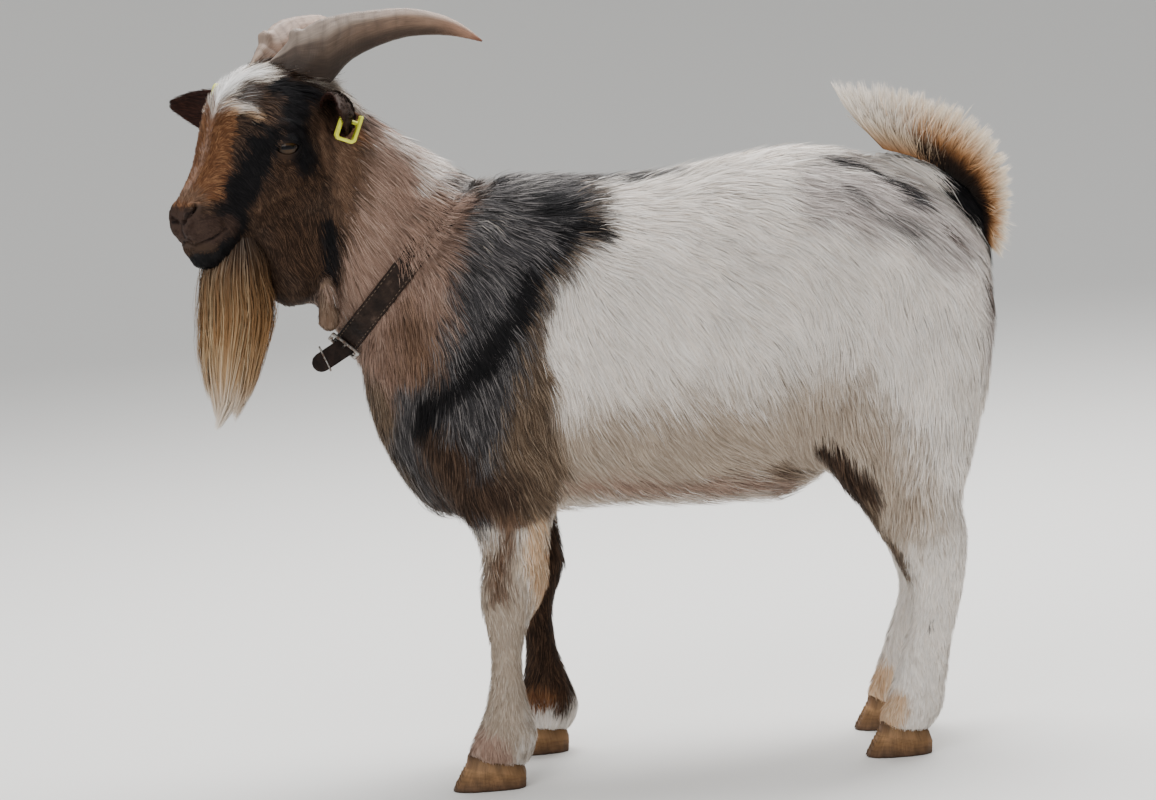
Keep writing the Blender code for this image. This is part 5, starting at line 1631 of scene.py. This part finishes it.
def eyeball(side):
    """A wet ball in its socket, turned so that its own third axis looks out."""
    ball = bmesh.new()
    bmesh.ops.create_uvsphere(ball, u_segments=64, v_segments=48, radius=EYE_RADIUS)
    mesh = bpy.data.meshes.new("eyeball_" + side)
    ball.to_mesh(mesh)
    ball.free()
    mesh.shade_smooth()
    mesh.materials.append(bpy.data.materials["goat_eye"])
    look, slit, up = eye_axes(side)
    turned = Matrix(np.stack([slit, up, look], 1).tolist()).to_4x4()
    finished("eyeball_" + side, mesh, "eye", "eye_" + side, matrix=Matrix.Translation(EYES[side]) @ turned)


goat_eye()
for side in SIDES:
    eyeball(side)

# %% [markdown]
# ## Horns and hooves
# Both are keratin, laid down in rings from the skin outward. Each point gets a tone and a grain, the
# place that it has along and round the horn, so that fibres and growth rings follow the curve.

# %% Keratin
GRAIN_UNIT = 10  # mm along the horn for each unit of its grain


def keratin(name, fibre, ring, ring_depth, rough):
    """Horn, index 1.55: dull where fibres fray, smoother where rubbed. Fibre and ring are widths in mm."""
    tree = new_material(name)
    tone = node(tree, "ShaderNodeAttribute", attribute_name="tone")
    grain = node(tree, "ShaderNodeAttribute", attribute_name="grain")
    stretched = node(tree, "ShaderNodeMapping", {"Vector": grain.outputs["Vector"], "Scale": (0.12, 1.0, 1.0)})
    streak = node(tree, "ShaderNodeTexNoise", {
        "Vector": stretched.outputs[0], "Scale": GRAIN_UNIT / fibre, "Detail": 8.0, "Roughness": 0.65})
    rings = node(tree, "ShaderNodeTexWave", {
        "Vector": grain.outputs["Vector"], "Scale": math.pi / 10 * GRAIN_UNIT / ring,
        "Distortion": 1.6, "Detail": 3.0}, bands_direction="X")
    blotch = node(tree, "ShaderNodeTexNoise", {
        "Vector": grain.outputs["Vector"], "Scale": 0.12 * GRAIN_UNIT / fibre, "Detail": 4.0})
    level = node(tree, "ShaderNodeMapRange", {"Value": streak.outputs[0], "From Min": 0.3, "From Max": 0.7,
                                              "To Min": 0.72, "To Max": 1.22})
    patch = node(tree, "ShaderNodeMapRange", {"Value": blotch.outputs[0], "From Min": 0.35, "From Max": 0.65,
                                              "To Min": 0.86, "To Max": 1.1})
    shade = node(tree, "ShaderNodeMath", {0: level.outputs[0], 1: patch.outputs[0]}, operation="MULTIPLY")
    colour = node(tree, "ShaderNodeMix", {"Factor": 1.0, 6: tone.outputs["Color"], 7: shade.outputs[0]},
                  data_type="RGBA", blend_type="MULTIPLY")
    gloss = node(tree, "ShaderNodeMapRange", {
        "Value": streak.outputs[0], "To Min": rough + 0.12, "To Max": rough - 0.08})
    ridge = node(tree, "ShaderNodeMath", {0: rings.outputs[1], 1: ring_depth, 2: streak.outputs[0]},
                 operation="MULTIPLY_ADD")
    bump = node(tree, "ShaderNodeBump", {"Height": ridge.outputs[0], "Strength": 0.45, "Distance": 0.6 * MM})
    shader = node(tree, "ShaderNodeBsdfPrincipled", {
        "Base Color": colour.outputs[2], "Roughness": gloss.outputs[0], "IOR": 1.55,
        "Specular IOR Level": 0.18, "Normal": bump.outputs[0]})
    node(tree, "ShaderNodeOutputMaterial", {"Surface": shader.outputs[0]})


def toned_piece(name, solid, points, faces, tone, grain, material, slot):
    """A piece with a tone and a grain at each point, in place of one solid."""
    mesh = mesh_from(name, points, faces)
    coloured(mesh, "tone", tone)
    places = mesh.attributes.new("grain", "FLOAT_VECTOR", "POINT")
    places.data.foreach_set("vector", grain.astype(np.float32).ravel())
    mesh.materials.append(bpy.data.materials[material])
    finished(name, mesh, slot, solid)


# %% Horns
HORN_RIDGES = 16  # along the whole horn, fading out before the tip
RIDGE_HEIGHT = 0.65 * MM
HORN_TONES_AND_SHADE = {  # each horn's stops from root to tip, and the tone of its underside, painted shade
    "left": (((0, "#41352D"), (0.3, "#55463B"), (0.75, "#7C6352"), (0.93, "#94705C"), (1, "#6A3C2B")),
             "#261C16"),
    "right": (((0, "#6E5848"), (0.35, "#8A6E5E"), (0.8, "#A88A77"), (0.95, "#9A7460"), (1, "#6E4434")),
              "#84542F"),
}


def horn(side):
    """One horn: its solid with ridges cut in, darker below by painted shade and paler along its crest by a
    painted highlight.
    """
    name = "horn_" + side
    points, faces = HORN_SHAPES[side]
    share, middle, way, span = spine_of(points)
    out = points - middle
    out = unit(out - (out * way).sum(1)[:, None] * way)
    over = unit(np.cross(np.cross(way, UP), way))
    beside = np.cross(way, over)
    height, across = (out * over).sum(1), (out * beside).sum(1)
    phase = share * HORN_RIDGES + 0.25 * waves(points, 0.03, 71)
    ridge = np.abs(np.sin(math.pi * phase)) ** 0.6
    fade = smoothstep(0.82, 0.5, share) * smoothstep(-0.2, 0.5, height + 0.3)
    points = points - out * (RIDGE_HEIGHT * (1 - ridge) * fade)[:, None]
    stops, under = HORN_TONES_AND_SHADE[side]
    tone = blended(stops, share)
    # Painted shade on the underside, and a painted highlight along the crest.
    below = smoothstep(0.1, -0.75, height)[:, None] * smoothstep(1.0, 0.75, share)[:, None]
    tone = tone + below * 0.8 * (np.array(linear(under)) - tone)
    crest = smoothstep(0.55, 0.95, height)[:, None]
    tone = tone + crest * 0.35 * (np.array(linear("#C3B2A4")) - tone)
    tone = tone * (1 - 0.25 * (1 - ridge) * fade)[:, None]
    grain = np.stack([share * span / (GRAIN_UNIT * MM), height * 2.2, across * 2.2], 1)
    toned_piece("horn_sheath_" + side, name, points, faces, tone, grain, "goat_horn", "horn")


keratin("goat_horn", 2.0, 1.428, 0.35, 0.46)
for side in SIDES:
    horn(side)

# %% Hooves
HOOF_VOXEL = 1.3 * MM
CORONET_RISE, CORONET_INSET = 8.5 * MM, 1.6 * MM  # the horn goes up under the hair, and narrows there
HOOF_STOPS = ((0.0, "#3E2E22"), (0.12, "#5C432F"), (0.5, "#82603F"), (0.85, "#97734F"), (1.0, "#6E5240"))


def hoof(name):
    """One claw: growth rings on its wall, and its top drawn up under the hair."""
    points, faces = fine_copy(name, HOOF_VOXEL, 4)
    low, high = BOXES[name]
    points[:, 2] = np.maximum(points[:, 2], low[2])
    rise = (points[:, 2] - low[2]) / (high[2] - low[2])
    middle = points.mean(0)
    out = (points - middle) * (1, 1, 0)
    angle = np.arctan2(out[:, 1], out[:, 0])
    slant = rise * 7 + 1.1 * np.cos(angle) + 0.3 * waves(points, 0.02, 81)
    ring = np.abs(np.sin(math.pi * slant)) ** 0.7
    wall = smoothstep(0.05, 0.2, rise) * smoothstep(1.0, 0.9, rise)
    points = points - unit(out) * (0.3 * MM * (1 - ring) * wall)[:, None]
    tone = blended(HOOF_STOPS, rise) * (0.9 + 0.15 * waves(points, 0.012, 82))[:, None]
    tone = tone * (1 - 0.25 * (1 - ring) * wall)[:, None]
    top = smoothstep(0.45, 0.85, normals_of(mesh_from(name + "_shape", points, faces))[:, 2])
    points = points + top[:, None] * ((0, 0, CORONET_RISE) - CORONET_INSET * unit(out))
    tone = tone * (1 - 0.45 * top[:, None])
    grain = np.stack([slant * 0.6, 2 * np.cos(angle), 2 * np.sin(angle)], 1)
    toned_piece(name + "_wall", name, points, faces, tone, grain, "hoof_wall", "hoof_horn")


keratin("hoof_wall", 2.5, 2.244, 0.5, 0.55)
for name in NODES:
    if name.startswith("hoof_"):
        hoof(name)

# %% [markdown]
# ## Collar
# A worn leather strap with a stitched line along each edge, a plain steel buckle and its prong, and the
# strap's free end in a small wire keeper.

# %% Leather, steel and thread
LEATHER_WEAR, LEATHER_PORES = 16.7, 1.1  # mm; real pores are 0.2 mm, drawn as coarse as shows
LEATHER_TONES = ((0.0, "#0D0908"), (0.42, "#1A1310"), (0.58, "#2A201B"), (0.72, "#4A3C34"), (1.0, "#5E5046"))
RUST_PATCH = 4.5  # mm
STEEL_TONES = ((0.0, "#8C8985"), (0.5, "#6A5F57"), (1.0, "#5A4030"))
THREAD_TWIST = 1.1  # mm for each turn
THREAD_TONES = ((0.0, "#2B221C"), (0.5, "#5C4B3C"), (1.0, "#7E6B58"))


def bridle_leather():
    """Bridle leather gone dry: its dark dye is rubbed off in patches, and fine cracks run across."""
    tree = new_material("bridle_leather")
    place = node(tree, "ShaderNodeTexCoord").outputs["Object"]
    wear = node(tree, "ShaderNodeTexNoise", {
        "Vector": place, "Scale": scale_of(LEATHER_WEAR), "Detail": 8.0, "Roughness": 0.7})
    colour = node(tree, "ShaderNodeValToRGB", {"Fac": wear.outputs[0]}, stops=LEATHER_TONES)
    pores = node(tree, "ShaderNodeTexVoronoi", {"Vector": place, "Scale": scale_of(LEATHER_PORES)})
    height = node(tree, "ShaderNodeMath", {0: wear.outputs[0], 1: 2.0, 2: pores.outputs[0]},
                  operation="MULTIPLY_ADD")
    bump = node(tree, "ShaderNodeBump", {"Height": height.outputs[0], "Strength": 0.5, "Distance": 0.25 * MM})
    gloss = node(tree, "ShaderNodeMapRange", {"Value": wear.outputs[0], "To Min": 0.42, "To Max": 0.8})
    shader = node(tree, "ShaderNodeBsdfPrincipled", {
        "Base Color": colour.outputs[0], "Roughness": gloss.outputs[0], "IOR": 1.5,
        "Specular IOR Level": 0.1, "Normal": bump.outputs[0]})
    node(tree, "ShaderNodeOutputMaterial", {"Surface": shader.outputs[0]})


def worn_steel():
    """Plain steel, dulled by weather: thin brown rust takes the place of its shine in patches."""
    tree = new_material("worn_steel")
    place = node(tree, "ShaderNodeTexCoord").outputs["Object"]
    rust = node(tree, "ShaderNodeTexNoise", {
        "Vector": place, "Scale": scale_of(RUST_PATCH), "Detail": 8.0, "Roughness": 0.7})
    share = node(tree, "ShaderNodeMapRange", {"Value": rust.outputs[0], "From Min": 0.45, "From Max": 0.62})
    colour = node(tree, "ShaderNodeValToRGB", {"Fac": share.outputs[0]}, stops=STEEL_TONES)
    metal = node(tree, "ShaderNodeMapRange", {"Value": share.outputs[0], "To Min": 1.0, "To Max": 0.1})
    rough = node(tree, "ShaderNodeMapRange", {"Value": share.outputs[0], "To Min": 0.35, "To Max": 0.85})
    bump = node(tree, "ShaderNodeBump", {"Height": rust.outputs[0], "Strength": 0.3, "Distance": 0.15 * MM})
    shader = node(tree, "ShaderNodeBsdfPrincipled", {
        "Base Color": colour.outputs[0], "Metallic": metal.outputs[0], "Roughness": rough.outputs[0],
        "Normal": bump.outputs[0]})
    node(tree, "ShaderNodeOutputMaterial", {"Surface": shader.outputs[0]})


def waxed_thread():
    """Linen thread, dark with wax: a twist too fine to model shows as a slight grain."""
    tree = new_material("waxed_thread")
    place = node(tree, "ShaderNodeTexCoord").outputs["Object"]
    twist = node(tree, "ShaderNodeTexNoise", {"Vector": place, "Scale": scale_of(THREAD_TWIST), "Detail": 2.0})
    colour = node(tree, "ShaderNodeValToRGB", {"Fac": twist.outputs[0]}, stops=THREAD_TONES)
    shader = node(tree, "ShaderNodeBsdfPrincipled", {
        "Base Color": colour.outputs[0], "Roughness": 0.7, "IOR": 1.5})
    node(tree, "ShaderNodeOutputMaterial", {"Surface": shader.outputs[0]})


for finish in (bridle_leather, worn_steel, waxed_thread):
    finish()
    print("finish:", finish.__name__)


# %% Simple shapes for the harness
def plain_piece(name, points, faces, material, slot, *solids):
    """A piece with one material, in place of the solids named."""
    mesh = mesh_from(name, points, faces)
    mesh.materials.append(bpy.data.materials[material])
    finished(name, mesh, slot, *solids)


def rod(path, radius, sides=10):
    """A round rod along a path, with its ends closed by points."""
    path = np.asarray(path, float)
    way = unit(np.gradient(path, axis=0))
    helper = np.array([0.31, 0.17, 0.93])
    first = unit(np.cross(way, helper))
    second = np.cross(way, first)
    angle = np.linspace(0, 2 * math.pi, sides, endpoint=False)
    ring = np.cos(angle)[None, :, None] * first[:, None] + np.sin(angle)[None, :, None] * second[:, None]
    points = (path[:, None] + ring * radius).reshape(-1, 3)
    ends = [path[0] - way[0] * radius * 0.6, path[-1] + way[-1] * radius * 0.6]
    faces = []
    for k in range(len(path) - 1):
        for i in range(sides):
            a, b = k * sides + i, k * sides + (i + 1) % sides
            faces += [(a, b, b + sides), (a, b + sides, a + sides)]
    last = (len(path) - 1) * sides
    for i in range(sides):
        faces += [(len(points), (i + 1) % sides, i), (len(points) + 1, last + i, last + (i + 1) % sides)]
    return np.concatenate([points, ends]), np.array(faces)


def main_axes(name):
    """A solid's middle, and its long, middle and short axes, with its half-sizes along them."""
    points = arrays(NODES[name])[0]
    centre = points.mean(0)
    axes = np.linalg.eigh(np.cov((points - centre).T))[1].T[::-1]
    reach = [(points - centre) @ axis for axis in axes]
    middle = centre + sum(axis * (along.max() + along.min()) / 2 for axis, along in zip(axes, reach))
    return middle, axes, [np.ptp(along) / 2 for along in reach]


# %% Strap
STRAP_ROUND = 0.48  # metres round the neck
STITCH_PITCH = 4.6 * MM
STITCH_SIZE = np.array([1.6, 0.42, 0.35]) * MM
STITCH_INSET = 2.6 * MM


def strap_outside(angles, along):
    """Places on the strap's outer face round the neck, with the way out at each."""
    points, faces, _ = arrays(NODES["collar_strap"])
    tree = BVHTree.FromPolygons(points.tolist(), faces.tolist())
    side = np.cross(STRAP_AXLE, STRAP_CREST)
    out = np.cos(angles)[:, None] * STRAP_CREST + np.sin(angles)[:, None] * side
    start = STRAP_MIDDLE + STRAP_AXLE * along + out * 0.2
    hits = [tree.ray_cast(a, b)[0] for a, b in zip(start.tolist(), (-out).tolist())]
    return np.array(hits), out


def strap():
    """The strap's leather with its stitch grooves and folds, and the stitches themselves."""
    points, faces = fine_copy("collar_strap", 1.1 * MM, 8)
    along = (points - STRAP_MIDDLE) @ STRAP_AXLE
    groove = np.exp(-((np.abs(along) - (STRAP_HALF - STITCH_INSET)) / (0.8 * MM)) ** 2)
    out = unit((points - STRAP_MIDDLE) - along[:, None] * STRAP_AXLE)
    crease = 0.35 * MM * waves(points, 0.012, 91) + 0.25 * MM * waves(points, 0.004, 92)
    points = points - out * (0.35 * MM * groove + crease)[:, None]
    plain_piece("strap_leather", points, faces, "bridle_leather", "collar_leather", "collar_strap")
    ball = bmesh.new()
    bmesh.ops.create_icosphere(ball, subdivisions=1, radius=1.0)
    shape = np.array([v.co for v in ball.verts]) * STITCH_SIZE
    ball_faces = np.array([[v.index for v in f.verts] for f in ball.faces])
    ball.free()
    stitches = []
    for sign in (1, -1):
        angles = np.linspace(0, 2 * math.pi, int(STRAP_ROUND / STITCH_PITCH), endpoint=False)
        places, outs = strap_outside(angles, sign * (STRAP_HALF - STITCH_INSET))
        ways = unit(np.roll(places, -1, 0) - np.roll(places, 1, 0))
        for place, out, way in zip(places, outs, ways):
            frame_here = np.stack([way, STRAP_AXLE, unit(np.cross(way, STRAP_AXLE))])
            stitches.append((place + shape @ frame_here, ball_faces))
    plain_piece("strap_stitches", *joined(stitches), "waxed_thread", "collar_leather")


strap()

# %% Buckle, free end and keeper
def buckle():
    """The buckle's frame with its prong across it."""
    points, faces = fine_copy("collar_buckle", 0.7 * MM, 4)
    middle, (_, wide, thin), (_, half_wide, _) = main_axes("collar_buckle")
    thin = thin * np.sign(thin @ (middle - STRAP_MIDDLE))
    prong = [middle + wide * half_wide * t + thin * (1.6 + 0.8 * math.cos(1.4 * t)) * MM
             for t in np.linspace(-1, 1, 9)]
    plain_piece("buckle_frame", *joined([(points, faces), rod(prong, 1.1 * MM)]), "worn_steel",
                "collar_metal", "collar_buckle")


def free_end():
    """The strap's free end, slightly bent, and the wire keeper round it."""
    points, faces = fine_copy("collar_tongue", 0.9 * MM, 4)
    bend = 0.3 * MM * waves(points, 0.010, 93)
    middle, (long, wide, thin), (half_long, half_wide, half_thin) = main_axes("collar_tongue")
    plain_piece("strap_free_end", points + thin * bend[:, None], faces, "bridle_leather",
                "collar_leather", "collar_tongue")
    far = long * np.sign(long @ (middle - BOXES["collar_strap"][0] * 0.5 - BOXES["collar_strap"][1] * 0.5))
    centre = middle + far * half_long * 0.35
    corners = [(-1, -1), (1, -1), (1, 1), (-1, 1), (-1, -1), (1, -1)]
    path = [centre + wide * (half_wide + 1.0 * MM) * u + thin * (half_thin + 0.9 * MM) * v for u, v in corners]
    keeper = rod(along_path(path, np.linspace(0, 0.86, 40)), 0.9 * MM)
    plain_piece("wire_keeper", *keeper, "worn_steel", "collar_metal")


buckle()
free_end()

# %% [markdown]
# ## Ear tags
# Each ear has a bent band of yellow plastic, pushed through and closed. It is a finer copy of its solid,
# with the edges softened as a mould leaves them. The bands are bare: no number is written on them.

# %% Ear tags
TAG_DUST = 7.7  # mm
TAG_TONES = ((0.0, "#B9B53A"), (0.5, "#D7D93C"), (1.0, "#E4E45A"))
TAG_VOXEL = 0.7 * MM


def tag_polyurethane():
    """Polyurethane: soft, a little clouded, with a film of dust in patches."""
    tree = new_material("tag_polyurethane")
    place = node(tree, "ShaderNodeTexCoord").outputs["Object"]
    dust = node(tree, "ShaderNodeTexNoise", {"Vector": place, "Scale": scale_of(TAG_DUST), "Detail": 7.0})
    colour = node(tree, "ShaderNodeValToRGB", {"Fac": dust.outputs[0]}, stops=TAG_TONES)
    rough = node(tree, "ShaderNodeMapRange", {"Value": dust.outputs[0], "To Min": 0.6, "To Max": 0.35})
    bump = node(tree, "ShaderNodeBump", {"Height": dust.outputs[0], "Strength": 0.2, "Distance": 0.2 * MM})
    shader = node(tree, "ShaderNodeBsdfPrincipled", {
        "Base Color": colour.outputs[0], "Roughness": rough.outputs[0], "IOR": 1.5, "Normal": bump.outputs[0],
        "Subsurface Weight": 0.1, "Subsurface Radius": (0.8 * MM, 0.8 * MM, 0.3 * MM)})
    node(tree, "ShaderNodeOutputMaterial", {"Surface": shader.outputs[0]})


tag_polyurethane()
for side in SIDES:
    points, faces = fine_copy("tag_" + side, TAG_VOXEL, 3)
    plain_piece("tag_band_" + side, points, faces, "tag_polyurethane", "tag_plastic", "tag_" + side)


# %% [markdown]
# ## The size, before and after
# Hair may stand a little proud of the solids. Both boxes are printed, the solids' and the finished goat's, as
# how far each corner moved.

# %% Boxes
bpy.context.view_layer.update()
VISUAL_BOX = [list(corner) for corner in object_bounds()]
for low_high, cad, visual in zip(("low", "high"), CAD_BOX, VISUAL_BOX):
    print(low_high, "corner moved by", [round((b - a) / MM, 1) for a, b in zip(cad, visual)], "mm")
print("finished after", round(time.time() - STARTED, 1), "s")
